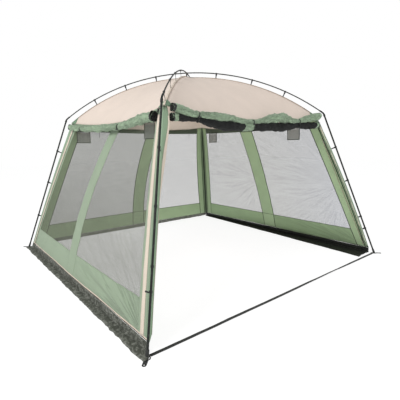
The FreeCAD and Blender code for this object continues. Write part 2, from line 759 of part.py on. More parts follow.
def skirt_body(name, reach):
    """A skirt that hangs from the band and turns outwards along the floor."""
    body = start_body(name)
    sketch = outline(body, name + "_profile", "YZ_Plane", [
        ("-sizes.skirt_in", "sizes.band_low - 1"),
        ("-sizes.skirt_in - sizes.skirt_thick", "sizes.band_low - 1"),
        ("-sizes.skirt_fold - sizes.skirt_thick", "sizes.skirt_thick"),
        (f"-{reach}", "sizes.skirt_thick"),
        (f"-{reach}", "0"),
        ("-sizes.skirt_fold", "0")])
    return pad(body, name + "_length", sketch, "2 * sizes.skirt_half")


for wall, reach in (("left", "sizes.skirt_out"), ("back", "sizes.skirt_back")):
    body = skirt_body("skirt_body_" + wall, reach)
    body.Placement = wall_turn(wall)
    node("skirt_" + wall, body)


def inner_skirt():
    """The right skirt hangs from the band and is tucked inwards, further at the door."""
    half, thick, fold = size("skirt_half"), size("skirt_thick"), size("skirt_fold")
    top, high = size("skirt_in"), size("band_low") - 1
    spots = [Vector(-half, -top, high), Vector(-half, -top - thick, high),
             Vector(-half, -fold - thick, 0), Vector(-half, -fold, 0)]
    hanging = Part.Face(Part.makePolygon(spots + spots[:1])).extrude(Vector(2 * half, 0, 0))
    spots = [Vector(-half, -fold - 1, 0), Vector(half, -fold - 1, 0),
             Vector(half, -size("skirt_in_back"), 0), Vector(-half, -size("skirt_in_door"), 0)]
    laid = Part.Face(Part.makePolygon(spots + spots[:1])).extrude(Vector(0, 0, thick))
    return hanging.fuse(laid).removeSplitter()


node("skirt_right", feature("skirt_tucked", [inner_skirt()], wall_turn("right")))

# ---------------------------------------------------------------- rolls under the eave


def eave(along):
    """The eave of the front roof panel: how far out and how high."""
    spot = roof_point(size("roof_edge"), along / size("roof_edge"))
    return -spot.y, spot.z


def roll_line(along, inwards, down):
    out, height = eave(along)
    return Vector(along, -out - size("roll_out") + inwards, height - size("roll_down") - down)


def rolled(radius, inwards, down):
    """A rolled cloth, hanging in a shallow arc from one end of the eave to the other."""
    half = size("roll_half")
    ends = [roll_line(along, inwards, down) for along in (-half, 0, half)]
    path = Part.Arc(*ends)
    middle = path.toShape().Curve.Center
    axis = path.toShape().Curve.Axis
    tangent = axis.cross(ends[0] - middle)
    disc = Part.Face(Part.Wire(Part.makeCircle(radius, ends[0], tangent)))
    angle = math.degrees((ends[0] - middle).getAngle(ends[2] - middle))
    return disc.revolve(middle, axis, angle)


def tie(along, radius, inwards, down, toggle):
    """A cord loop round a roll, with a toggle lying along its outer side."""
    ring = radius + size("tie_gap") + size("tie_radius")
    half = size("roll_half")
    ends = [roll_line(x, inwards, down) for x in (-half, 0, half)]
    curve = Part.Arc(*ends).toShape().Curve
    place = curve.parameter(roll_line(along, inwards, down))
    spot = curve.value(place)
    tangent = curve.tangent(place)[0]
    loop = Part.makeTorus(ring, size("tie_radius"), spot, tangent)
    pieces = [loop]
    if toggle:
        reach = ring + size("tie_radius") + size("toggle_radius") + size("toggle_gap")
        base = spot + TOGGLE_WAY * reach - tangent.normalize() * (size("toggle_length") / 2)
        pieces.append(Part.makeCylinder(size("toggle_radius"), size("toggle_length"), base, tangent))
    return pieces


cover = rolled(size("cover_radius"), 0, 0)
ties = []
for wall in WALLS:
    node("cover_roll_" + wall, feature("cover_" + wall, [cover.copy()], wall_turn(wall)))
    pieces = []
    for along in ROLL_TIES:
        pieces += tie(along, size("cover_radius"), 0, 0, True)
    for piece in pieces:
        piece.Placement = wall_turn(wall).multiply(piece.Placement)
        ties.append(piece)
mesh_roll = rolled(size("mesh_roll_radius"), size("mesh_roll_in"), size("mesh_roll_down"))
node("mesh_roll_front", feature("door_mesh_roll", [mesh_roll]))
for along in ROLL_TIES:
    ties += tie(along + size("mesh_tie_step"), size("mesh_roll_radius"), size("mesh_roll_in"),
                size("mesh_roll_down"), False)
node("roll_ties", feature("tie_set", ties))

# ---------------------------------------------------------------- door zips


def zip_frame(side, z):
    """A frame on one of the door's zips: Z up the zip and Y out of the door."""
    lean_in = size("corner_lean")
    up_zip = Vector(-side * lean_in, lean_in, 1)
    outwards = Vector(0, -1, lean_in)
    reach = corner_half(z)
    origin = Vector(side * (reach - size("zip_middle")), size("zip_back") - reach, z)
    return axes(outwards.cross(up_zip), outwards, origin)


def zip_run(z_low, z_high):
    return (z_high - z_low) * math.sqrt(1 + 2 * size("corner_lean") ** 2)


def make_zip(side, name):
    """The zip's tape, with its closed teeth standing out of its middle."""
    length = zip_run(size("zip_low"), size("zip_high"))
    tape = bound("Part::Box", name + "_tape", Length="sizes.zip_width", Width="sizes.cloth")
    tape.Placement = at(-size("zip_width") / 2, -size("cloth"))
    coil = bound("Part::Box", name + "_coil", Length="sizes.coil_width",
                 Width="sizes.coil_rise + 1")
    coil.Placement = at(-size("coil_width") / 2, -1)
    for item in (tape, coil):
        item.Height = length
    whole = fuse(name + "_whole", [tape, coil])
    doc.recompute()
    return copied(whole, [zip_frame(side, size("zip_low"))])


node("zip_tapes", feature("zip_set", make_zip(-1, "zip_n") + make_zip(1, "zip_r")))


def make_slider():
    """A slider whose channel runs over the teeth, with a bridge for the pull."""
    body = start_body("slider_body")
    channel = "sizes.coil_width / 2 + sizes.slider_gap"
    roof_low = "sizes.coil_rise + sizes.slider_gap"
    roof_high = "sizes.coil_rise + sizes.slider_gap + sizes.slider_wall"
    sketch = outline(body, "slider_profile", "XY_Plane", [
        ("-sizes.slider_half", "sizes.slider_gap"),
        (f"-{channel.replace(' + ', ' - ')}", "sizes.slider_gap"),
        (f"-{channel.replace(' + ', ' - ')}", roof_low),
        (channel, roof_low),
        (channel, "sizes.slider_gap"),
        ("sizes.slider_half", "sizes.slider_gap"),
        ("sizes.slider_half", roof_high + " - 1"),
        ("sizes.slider_half - 1", roof_high),
        ("1 - sizes.slider_half", roof_high),
        ("-sizes.slider_half", roof_high + " - 1")])
    pad(body, "slider_channel", sketch, "sizes.slider_length")
    bridge = outline(body, "bridge_profile", "YZ_Plane", [
        (roof_high + " - 1", "-sizes.bridge_end"),
        (roof_high + " + sizes.bridge_rise - sizes.bridge_slope", "-sizes.bridge_end"),
        (roof_high + " + sizes.bridge_rise", "sizes.bridge_slope - sizes.bridge_end"),
        (roof_high + " + sizes.bridge_rise", "sizes.bridge_crown"),
        (roof_high + " + sizes.bridge_rise - sizes.bridge_slope", "sizes.bridge_end"),
        (roof_high + " - 1", "sizes.bridge_end")],
        hole=(roof_high + " + sizes.bridge_rise / 2", "-sizes.pin_drop",
              "sizes.pin_radius + sizes.pin_gap"))
    pad(body, "slider_bridge", bridge, "2 * sizes.bridge_half")
    return body


def make_pull():
    """A pull tab on two arms, whose pin turns in the bridge."""
    pin = cylinder("pull_pin", "sizes.pin_radius", "2 * sizes.pull_half",
                   axes(Vector(0, 1, 0), Vector(0, 0, 1), Vector(-size("pull_half"), 0, 0)))
    half = size("pull_thick") / 2
    arms = []
    for name, x in (("pull_arm_left", -size("pull_half")),
                    ("pull_arm_right", size("pull_half") - size("pull_arm"))):
        arm = box(name, "sizes.pull_arm", "sizes.pull_thick", "sizes.pull_arm_long")
        arm.Placement = at(x, -half, -size("pull_arm_long"))
        arms.append(arm)
    tab = box("pull_tab", "2 * sizes.pull_half", "sizes.pull_thick",
              "sizes.pull_length - sizes.pull_arm_long + 1")
    tab.Placement = at(-size("pull_half"), -half, -size("pull_length"))
    return fuse("pull_whole", [pin, tab] + arms)


slider, pull = make_slider(), make_pull()
doc.recompute()
pin_spot = at(y=size("coil_rise") + size("slider_gap") + size("slider_wall") + size("bridge_rise") / 2,
              z=-size("pin_drop"))
ZIPS = {"n": -1, "r": 1}
for corner, side in ZIPS.items():
    parked = zip_frame(side, size("slider_high"))
    node("zip_slider_" + corner, feature("slider_" + corner, copied(slider, [parked])))
    node("zip_pull_" + corner, feature("pull_" + corner, copied(pull, [parked.multiply(pin_spot)])))

# ---------------------------------------------------------------- inside the walls

for label, (wall, along) in POCKETS.items():
    out = wall_out(wall, along, size("pocket_top")) - size("pocket_in")
    width = "sizes.pocket_width"
    item = box("box_" + label, width, "sizes.pocket_thick", "sizes.pocket_high")
    item.Placement = wall_turn(wall).multiply(at(
        along - size("pocket_width") / 2, -out, size("pocket_top") - size("pocket_high")))
    node(label, item)

cords = []
for along in INSIDE_TIES:
    out = wall_out("back", along, size("cord_top")) - size("cord_in")
    shape = Part.makeCylinder(size("cord_radius"), size("cord_length"),
                              Vector(along, -out, size("cord_top") - size("cord_length")), UP)
    shape.Placement = wall_turn("back").multiply(shape.Placement)
    cords.append(shape)
node("inside_ties", feature("cord_set", cords))

# ---------------------------------------------------------------- at the floor


def make_tab(corner):
    """A webbing tab round the foot, out to its peg eyelet."""
    name = "tab_" + corner
    strap = box(name + "_strap", "sizes.tab_inner + sizes.tab_reach", "sizes.tab_width",
                "sizes.tab_thick", at(-size("tab_inner"), -size("tab_width") / 2))
    ring = cylinder(name + "_ring", "sizes.tab_ring", "sizes.tab_thick")
    end = cylinder(name + "_end", "sizes.tab_width / 2", "sizes.tab_thick", at(size("tab_reach")))
    foot = cylinder(name + "_foot", "sizes.tab_hole", "sizes.tab_thick")
    eye = cylinder(name + "_eye", "sizes.eyelet_barrel + 0.1", "sizes.tab_thick", at(size("tab_reach")))
    tab = cut(name + "_whole", fuse(name + "_blank", [strap, ring, end]), fuse(name + "_holes", [foot, eye]))
    barrel = cylinder(name + "_barrel", "sizes.eyelet_barrel", "sizes.tab_thick + 0.1",
                      at(size("tab_reach")))
    flange = cylinder(name + "_flange", "sizes.eyelet_flange",
                      "sizes.eyelet_high - sizes.tab_thick - 0.1",
                      at(size("tab_reach"), 0, size("tab_thick") + 0.1))
    bore = cylinder(name + "_bore", "sizes.eyelet_bore", "sizes.eyelet_high", at(size("tab_reach")))
    eyelet = cut(name + "_eyelet", fuse(name + "_rim", [barrel, flange]), bore)
    doc.recompute()
    place = corner_place(corner, size("foot_half"), 0)
    return copied(tab, [place]) + copied(eyelet, [place])


pairs = [make_tab(corner) for corner in CORNERS]
node("peg_tabs", feature("tab_set", [pair[0] for pair in pairs]))
node("peg_eyelets", feature("eyelet_set", [pair[1] for pair in pairs]))
ground = box("ground_webbing", "2 * sizes.ground_half", "sizes.ground_width", "sizes.cloth",
             at(-size("ground_half"), -size("ground_out") - size("ground_width") / 2))
node("ground_strap", ground)

# ---------------------------------------------------------------- checks and files

doc.recompute()
for item in doc.Objects:
    if "Invalid" in item.State or "Error" in item.State:
        raise RuntimeError(f"{item.Label} failed: {item.State}")
for label, item in NODES.items():
    if item.Shape.isNull() or not item.Shape.isValid() or not item.Shape.Solids:
        raise RuntimeError(f"{label} has no valid solid")
os.makedirs("parts", exist_ok=True)
for label, item in NODES.items():
    item.Shape.exportStep(f"parts/{label}.step")
print(len(NODES), "sub-parts written")
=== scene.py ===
"""Screen house: cloth, netting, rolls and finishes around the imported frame. Metres, +Z up."""
import math

import bpy
import numpy as np
from mathutils import Matrix, Vector, noise


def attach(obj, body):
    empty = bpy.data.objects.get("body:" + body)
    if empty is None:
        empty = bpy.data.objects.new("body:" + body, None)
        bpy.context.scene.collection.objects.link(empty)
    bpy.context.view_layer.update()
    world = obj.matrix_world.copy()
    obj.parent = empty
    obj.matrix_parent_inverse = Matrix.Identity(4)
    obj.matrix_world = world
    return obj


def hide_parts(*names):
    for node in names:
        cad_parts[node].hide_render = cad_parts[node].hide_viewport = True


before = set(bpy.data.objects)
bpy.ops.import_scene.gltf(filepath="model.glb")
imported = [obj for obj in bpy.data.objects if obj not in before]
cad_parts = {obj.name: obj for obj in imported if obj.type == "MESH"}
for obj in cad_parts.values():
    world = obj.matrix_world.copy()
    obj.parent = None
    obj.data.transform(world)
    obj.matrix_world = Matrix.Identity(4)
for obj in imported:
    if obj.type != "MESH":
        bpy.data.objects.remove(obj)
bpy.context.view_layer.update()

# ---------------------------------------------------------------- the shelter's lines, as in the CAD

ELBOW, ELBOW_Z, APEX = 1.192, 1.797, 2.340
CORNER_FOOT, CORNER_FOOT_Z, CORNER_LEAN = 1.665, 0.030, 0.3012
BAND_LOW, BAND_HIGH, MESH_HIGH, WALL_HIGH = 0.071, 0.300, 1.635, 1.700
BORDER, ROOF_EDGE, EAVE_SAG = 0.160, 1.145, 0.106
FOOT_HALF, SEAM_IN, DOOR_LOW = 1.700, 0.044, 0.115
# the roof cloth hangs below the arch: at the crown, more at the eave, and deeper along two seams
CROWN_DROP, EAVE_DROP, SEAM_DIP = 0.059, 0.040, 0.045
WALLS = ("front", "right", "back", "left")
WALL_FORM = {"right": (1.030, 0.050), "back": (1.040, 0.160), "left": (1.030, 0.080)}
WALL_STRIPS = {"right": (-0.020, 0.120), "back": (-0.075, 0.110), "left": (0.0, 0.100)}
LOW_END = {"front": -1, "right": 1, "back": -1, "left": 1}
TURN = {wall: Matrix.Rotation(math.pi / 2 * i, 4, "Z") for i, wall in enumerate(WALLS)}
CORNER_WALLS = {"n": (("left", 1), ("front", -1)), "r": (("front", 1), ("right", -1)),
                "b": (("right", 1), ("back", -1)), "l": (("back", 1), ("left", -1))}
CORNERS = {"n": (-1, -1), "r": (1, -1), "b": (1, 1), "l": (-1, 1)}


def corner_half(z):
    return CORNER_FOOT - CORNER_LEAN * (z - CORNER_FOOT_Z)


def wall_out(wall, along, z):
    corner = corner_half(z)
    if wall == "front":
        return corner
    eave_half, bow = WALL_FORM[wall]
    level = (z - CORNER_FOOT_Z) / (MESH_HIGH - CORNER_FOOT_Z)
    middle = CORNER_FOOT + (eave_half - CORNER_FOOT) * level + bow * 4 * level * (1 - level)
    return corner + (middle - corner) * (1 - min(1.0, abs(along) / corner) ** 2)


RISE = APEX - ELBOW_Z
ARCH_RADIUS = (2 * ELBOW ** 2 + RISE ** 2) / (2 * RISE)


def seam_height(corner, half):
    """Height of the roof seam that runs to a corner, at a half width of the roof."""
    level = half / ROOF_EDGE
    drop = CROWN_DROP + EAVE_DROP * level ** 3
    if corner in "nb":
        drop += SEAM_DIP * 4 * level * (1 - level)
    return APEX - ARCH_RADIUS + math.sqrt(ARCH_RADIUS ** 2 - 2 * half ** 2) - drop


def roof_point(half, across, extra=0.0, low_end=-1):
    """A point of a gore, drawn as the front one; across runs from -1 to 1 between its two seams."""
    high, low = seam_height("r", half), seam_height("n", half)
    tilt = math.atan((high - seam_height("r", half + 0.001)) / 0.001)
    sag = EAVE_SAG * half / ROOF_EDGE * (1 - across ** 2) + extra
    ridge = (high + low) / 2 - low_end * (high - low) / 2 * across
    return Vector((across * half, -half + sag * math.sin(tilt), ridge - sag * math.cos(tilt)))


def eave(along):
    spot = roof_point(ROOF_EDGE, max(-1.0, min(1.0, along / ROOF_EDGE)))
    return -spot.y, spot.z


def ease(x, low, high):
    """0 below low, 1 above high, smooth between."""
    t = max(0.0, min(1.0, (x - low) / (high - low)))
    return t * t * (3 - 2 * t)


def wave(x, y, seed, octaves=3):
    return noise.fractal(Vector((x, y, seed)), 0.9, 2.1, octaves)


# ---------------------------------------------------------------- materials


def linear(code):
    parts = [int(code[i:i + 2], 16) / 255 for i in (1, 3, 5)]
    return [c / 12.92 if c <= 0.04045 else ((c + 0.055) / 1.055) ** 2.4 for c in parts] + [1.0]


def shade(colour, factor, lift=0.0):
    """The colour made darker or lighter, held below white."""
    return [min(1.0, c * factor + lift) for c in colour[:3]] + [1.0]


BLACK = [0.0, 0.0, 0.0, 1.0]
# a row of stitches: its distance from the hem, its half width, the groove's, and one stitch's length
STITCH_ROW, STITCH_HALF, GROOVE_HALF, STITCH_LONG = 0.0065, 0.0009, 0.0022, 0.0042


class Finish:
    """A material's node tree, with short names for the nodes that the finishes share."""

    def __init__(self, name, **sockets):
        self.material = bpy.data.materials.new(name)
        self.material.use_nodes = True
        self.tree = self.material.node_tree
        self.shader = self.tree.nodes["Principled BSDF"]
        for socket, value in sockets.items():
            self.shader.inputs[socket.replace("_", " ")].default_value = value

    def node(self, kind, **settings):
        item = self.tree.nodes.new(kind)
        for key, value in settings.items():
            if key in item.inputs:
                item.inputs[key].default_value = value
            else:
                setattr(item, key, value)
        return item

    def link(self, source, target):
        self.tree.links.new(source, target)

    def spot(self, kind="UV"):
        return self.node("ShaderNodeTexCoord").outputs[kind]

    def stretch(self, vector, scale, turn=0.0):
        item = self.node("ShaderNodeMapping")
        item.inputs["Scale"].default_value = scale
        item.inputs["Rotation"].default_value = (0, 0, turn)
        self.link(vector, item.inputs["Vector"])
        return item.outputs["Vector"]

    def grain(self, vector, scale, detail=2.0, distortion=0.0):
        item = self.node("ShaderNodeTexNoise", Scale=scale, Detail=detail, Distortion=distortion)
        self.link(vector, item.inputs["Vector"])
        return item.outputs["Fac"]

    def threads(self, vector, period, direction):
        item = self.node("ShaderNodeTexWave", Scale=2 * math.pi / (20 * period), bands_direction=direction)
        self.link(vector, item.inputs["Vector"])
        return item.outputs["Fac"]

    def maths(self, operation, first, second=None, third=None):
        item = self.node("ShaderNodeMath", operation=operation)
        for socket, value in zip(item.inputs, (first, second, third)):
            if isinstance(value, (int, float)):
                socket.default_value = value
            elif value is not None:
                self.link(value, socket)
        return item.outputs[0]

    def span(self, value, low, high, new_low, new_high):
        item = self.node("ShaderNodeMapRange")
        self.link(value, item.inputs["Value"])
        for socket, number in zip(item.inputs[1:5], (low, high, new_low, new_high)):
            socket.default_value = number
        return item.outputs["Result"]

    def mix(self, factor, first, second):
        item = self.node("ShaderNodeMix", data_type="RGBA")
        for socket, value in ((item.inputs[0], factor), (item.inputs[6], first), (item.inputs[7], second)):
            if isinstance(value, (int, float, list)):
                socket.default_value = value
            else:
                self.link(value, socket)
        return item.outputs[2]

    def split(self, vector):
        item = self.node("ShaderNodeSeparateXYZ")
        self.link(vector, item.inputs[0])
        return item.outputs

    def product(self, first, second):
        return self.maths("MULTIPLY", first, second)

    def colour(self, value):
        self.link(value, self.shader.inputs["Base Color"])

    def rough(self, value):
        self.link(value, self.shader.inputs["Roughness"])

    def bump(self, height, distance, strength=1.0):
        item = self.node("ShaderNodeBump", Strength=strength, Distance=distance)
        self.link(height, item.inputs["Height"])
        self.link(item.outputs["Normal"], self.shader.inputs["Normal"])
        return item

    def fan(self, vector, centre):
        """Straight creases running out from one corner of the pattern, and how they fade with distance."""
        spot = self.split(vector)
        across = self.maths("SUBTRACT", spot[0], centre[0])
        rise = self.maths("SUBTRACT", spot[1], centre[1])
        angle = self.maths("ARCTAN2", rise, across)
        reach = self.maths("SQRT", self.maths("ADD", self.product(across, across), self.product(rise, rise)))
        place = self.node("ShaderNodeCombineXYZ")
        self.link(self.product(angle, 13.0), place.inputs[0])
        self.link(self.product(reach, 0.9), place.inputs[1])
        folds = self.grain(place.outputs[0], 1.0, 2.0, 0.3)
        line = self.span(self.maths("ABSOLUTE", self.maths("SUBTRACT", folds, 0.5)), 0.0, 0.045, 1.0, 0.0)
        return line, self.span(reach, 0.1, 1.9, 1.0, 0.0)

    def hem_distance(self):
        return self.node("ShaderNodeAttribute", attribute_name="hem").outputs["Fac"]


def cloth_finish(name, code, weave=0.0012, stitch=None, mottle=0.06, rough=0.82, crease=0.0,
                 sheen=0.15, fan=None):
    """Woven coated cloth: threads both ways, faint cloudiness, and a row of stitches by its hems."""
    f = Finish(name, Roughness=rough, Sheen_Weight=sheen)
    uv = f.spot()
    base = linear(code)
    cloud = f.grain(uv, 5.0, 4.0, 0.4)
    fleck = f.grain(uv, 420.0, 1.0)
    dark, light = shade(base, 1 - mottle * 1.6), shade(base, 1 + mottle)
    tone = f.mix(f.span(cloud, 0.3, 0.7, 0.0, 1.0), dark, light)
    tone = f.mix(f.span(fleck, 0.35, 0.65, 0.0, 0.10), tone, BLACK)
    weft = f.maths("ADD", f.threads(uv, weave, "X"), f.threads(uv, weave, "Y"))
    height = f.product(weft, 0.5)
    relief = None
    if crease:
        strong = min(1.0, crease)
        folds = f.grain(f.stretch(uv, (9.0, 34.0, 1.0), 0.35), 1.0, 3.0, 1.6)
        sharp = f.maths("ABSOLUTE", f.maths("SUBTRACT", folds, 0.5))
        relief = f.span(sharp, 0.0, 0.09, 0.0, crease)
        # crumpled cloth: broad blotches darkened as painted shade in its hollows, and each crease line
        # darkened as painted shade
        crumple_shade = f.grain(f.stretch(uv, (20.0, 30.0, 1.0), 0.6), 1.0, 3.0, 1.2)
        tone = f.mix(f.span(crumple_shade, 0.42, 0.62, 0.0, 0.30 * strong), tone, shade(base, 0.45))
        tone = f.mix(f.span(sharp, 0.0, 0.03, 0.45 * strong, 0.0), tone, shade(base, 0.35))
    if fan:
        line, fade = f.fan(uv, fan)
        # the fan's crease lines are darkened as painted shade
        tone = f.mix(f.product(line, f.product(fade, 0.55)), tone, shade(base, 0.4))
        relief = f.product(f.maths("SUBTRACT", 1.0, line), f.product(fade, 0.8))
    if stitch:
        hem = f.hem_distance()
        row = f.maths("COMPARE", hem, STITCH_ROW, STITCH_HALF)
        spot = f.split(uv)
        run = f.maths("ADD", spot[0], spot[1])
        dash = f.maths("GREATER_THAN", f.maths("FRACT", f.maths("DIVIDE", run, STITCH_LONG)), 0.3)
        tone = f.mix(f.product(row, dash), tone, linear(stitch))
        groove = f.maths("COMPARE", hem, STITCH_ROW, GROOVE_HALF)
        height = f.maths("SUBTRACT", height, f.product(groove, 1.6))
    f.colour(tone)
    f.rough(f.span(cloud, 0.3, 0.7, rough - 0.06, rough + 0.06))
    fine = f.bump(height, 0.00025, 0.6)
    if relief:
        deep = f.node("ShaderNodeBump", Strength=0.8, Distance=0.006)
        f.link(relief, deep.inputs["Height"])
        f.link(deep.outputs["Normal"], fine.inputs["Normal"])
    return f.material


def netting_finish(name, code, cover, pitch=0.0016, streak=0.05, low_shade_cover=None, far_code=None, fan=None):
    """Fine netting: crossing threads whose openings let the light through. Low down it can be denser,
    as painted shade of the floor seen through it, and of another tone towards -Y."""
    f = Finish(name, Roughness=0.9)
    uv = f.spot()
    first = f.threads(f.stretch(uv, (1, 1, 1), math.radians(45)), pitch, "X")
    second = f.threads(f.stretch(uv, (1, 1, 1), math.radians(-45)), pitch, "X")
    soft = f.grain(f.stretch(uv, (3.0, 20.0, 1.0), 0.5), 1.0, 4.0, 0.8)
    spread = min(cover, 1 - cover) * 0.55
    net = f.span(f.maths("ADD", first, second), 0.0, 2.0, cover - spread, cover + spread)
    alpha = f.maths("ADD", net, f.span(soft, 0.25, 0.75, -streak, streak))
    # denser low down: painted shade of the floor seen through the netting
    if low_shade_cover:
        alpha = f.maths("ADD", alpha, f.span(f.split(uv)[1], 0.5, 1.3, low_shade_cover - cover, 0.0))
    if fan:
        line, fade = f.fan(uv, fan)
        alpha = f.maths("ADD", alpha, f.product(line, f.product(fade, 0.09)))
    f.link(alpha, f.shader.inputs["Alpha"])
    base = linear(code)
    tone = f.mix(f.grain(uv, 2.5, 3.0), base, shade(base, 1.5))
    if far_code:
        depth = f.split(f.spot("Object"))[1]
        tone = f.mix(f.span(depth, -0.3, -1.3, 0.0, 1.0), tone, linear(far_code))
    f.colour(tone)
    return f.material


def tube_finish(name, code, worn, rough=0.35, metallic=0.6):
    """Painted or coated tube: fine scuffs along it and a slightly uneven gloss."""
    f = Finish(name, Roughness=rough, Metallic=metallic)
    place = f.spot("Object")
    scuff = f.grain(f.stretch(place, (60.0, 60.0, 9.0)), 1.0, 6.0, 0.5)
    cloud = f.grain(place, 14.0, 3.0)
    tone = f.mix(f.span(scuff, 0.56, 0.72, 0.0, 0.55), linear(code), linear(worn))
    f.colour(f.mix(f.span(cloud, 0.3, 0.7, 0.0, 0.25), tone, BLACK))
    f.rough(f.span(scuff, 0.3, 0.7, rough - 0.08, rough + 0.2))
    f.bump(scuff, 0.00015, 0.4)
    return f.material


def moulded_finish(name, code, rough=0.55):
    f = Finish(name, Roughness=rough)
    place = f.spot("Object")
    pebble = f.grain(place, 900.0, 2.0)
    cloud = f.grain(place, 25.0, 3.0)
    base = linear(code)
    f.colour(f.mix(f.span(cloud, 0.3, 0.7, 0.0, 1.0), base, shade(base, 1.8, 0.01)))
    f.rough(f.span(cloud, 0.3, 0.7, rough - 0.1, rough + 0.1))
    f.bump(pebble, 0.0002, 0.5)
    return f.material


def webbing_finish(name, code, worn):
    """Woven tape: ribs across it, a herringbone of threads, frayed lighter at its edges."""
    f = Finish(name, Roughness=0.85, Sheen_Weight=0.2)
    uv = f.spot()
    ribs = f.threads(uv, 0.0018, "Y")
    twill = f.threads(f.stretch(uv, (1, 1, 1), math.radians(35)), 0.0011, "X")
    hem = f.hem_distance()
    fray = f.span(f.grain(uv, 300.0), 0.3, 0.7, -0.001, 0.001)
    edge = f.span(f.maths("ADD", hem, fray), 0.0, 0.003, 0.6, 0.0)
    tone = f.mix(f.span(ribs, 0.0, 1.0, 0.0, 0.35), linear(code), linear(worn))
    f.colour(f.mix(edge, tone, linear(worn)))
    f.bump(f.maths("ADD", ribs, twill), 0.0003, 0.7)
    return f.material


def skirt_finish(name, code, light, rough=0.5):
    """Creased woven ground cloth: sharp crackle, pale glossier patches of painted highlight on its crinkles,
    and a fine darker grain.
    """
    f = Finish(name, Roughness=rough)
    uv = f.spot()
    crackle = f.node("ShaderNodeTexVoronoi", Scale=46.0, feature="DISTANCE_TO_EDGE")
    f.link(f.stretch(uv, (1.0, 1.3, 1.0), 0.3), crackle.inputs["Vector"])
    patch = f.grain(uv, 26.0, 6.0, 1.5)
    fine = f.grain(uv, 160.0, 4.0, 0.6)
    # the pale patches are painted highlights on the crinkles
    tone = f.mix(f.span(patch, 0.46, 0.68, 0.0, 0.8), linear(code), linear(light))
    tone = f.mix(f.span(fine, 0.35, 0.7, 0.0, 0.3), tone, linear(code))
    f.colour(tone)
    f.rough(f.span(patch, 0.3, 0.7, rough + 0.15, rough - 0.15))
    cracks = f.span(crackle.outputs["Distance"], 0.0, 0.3, 0.0, 1.0)
    f.bump(f.maths("ADD", f.product(fine, 0.5), cracks), 0.003, 0.7)
    return f.material


ROOF = cloth_finish("roof_outside", "#efdfd2", stitch="#c9bcae", mottle=0.02, sheen=0.1)
ROOF_IN = cloth_finish("roof_inside", "#e2d2c4", mottle=0.03, sheen=0.1)
GREEN = cloth_finish("green_outside", "#9aac92", stitch="#758a70", mottle=0.04)
GREEN_FAN = cloth_finish("green_creased", "#9aac92", mottle=0.04, fan=(3.26, 0.03))
GREEN_IN = cloth_finish("green_inside", "#a6bd95", stitch="#62775a", mottle=0.05)
GREEN_IN_FAN = cloth_finish("green_inside_creased", "#99b189", mottle=0.05, fan=(-0.04, 0.03))
# the headers' inside: dark green as painted shade under the rolled covers and the eave
HEADER_SHADE = cloth_finish("header_inside_shade", "#445240", mottle=0.08)
CAP = cloth_finish("corner_cap", "#7c9c7e", stitch="#5d7a5f", mottle=0.07)
POST = cloth_finish("post_outside", "#93ad8f", stitch="#6d8668", mottle=0.06)
POST_IN = cloth_finish("post_inside", "#7d9172", stitch="#4c6042", mottle=0.08)
# dark edge tape; inside each corner post's fold the same dark cloth is painted shade
TAPE_AND_FOLD_SHADE = cloth_finish("edge_tape_and_fold_shade", "#2e3b2a", mottle=0.10)
COVER = cloth_finish("cover_cloth", "#a3bd9c", mottle=0.10, crease=1.5, sheen=0.2)
BLACK_BINDING = cloth_finish("black_binding", "#1b1d1b", mottle=0.1, rough=0.6)
BEIGE = cloth_finish("trim_beige", "#e8dac9", stitch="#b7a693", mottle=0.04)
BROWN = cloth_finish("hem_brown", "#5c4a38", mottle=0.1)
# the same netting on every wall, given a lighter colour on the left wall and darker ones on the back and
# right walls: painted light and shade
NETS = {"back": netting_finish("netting_back", "#37372e", 0.45, streak=0.018),
        "right": netting_finish("netting_right", "#3e3f33", 0.49, streak=0.015, far_code="#4a5468",
                                fan=(-0.1, 0.9)),
        "left": netting_finish("netting_left", "#52554a", 0.42, streak=0.019, low_shade_cover=0.65,
                               fan=(1.6, -0.2))}
NET_POCKET = netting_finish("netting_pocket", "#8d8f8c", 0.72, pitch=0.003, streak=0.02)
NET_ROLLED = cloth_finish("netting_rolled", "#181a19", weave=0.0016, mottle=0.12, rough=0.95, crease=0.6,
                          sheen=0.05)
# one ground cloth: the right skirt, tucked in under the roof, gets darker colours as painted shade
SKIRT_OUT = skirt_finish("skirt_outside", "#4b4e45", "#9fa198", 0.55)
SKIRT_IN = skirt_finish("skirt_inside", "#191b18", "#2b2e29", 0.6)
WEBBING = webbing_finish("webbing_black", "#181a19", "#343735")
CORD = webbing_finish("cord_black", "#20241f", "#3f453e")
POLE = tube_finish("pole_grey", "#3a3e3a", "#737772", 0.38, 0.5)
LEG = tube_finish("leg_black", "#272b27", "#5c605b", 0.42, 0.4)
STEEL = tube_finish("steel_bare", "#a9aba8", "#d4d5d2", 0.3, 0.95)
PLASTIC = moulded_finish("moulded_black", "#1c1e1d")
ZIP = webbing_finish("zip_tape", "#cdbfae", "#a89a88")
ZIP_TEETH = moulded_finish("zip_teeth", "#b9ab98", 0.4)

# ---------------------------------------------------------------- building cloth


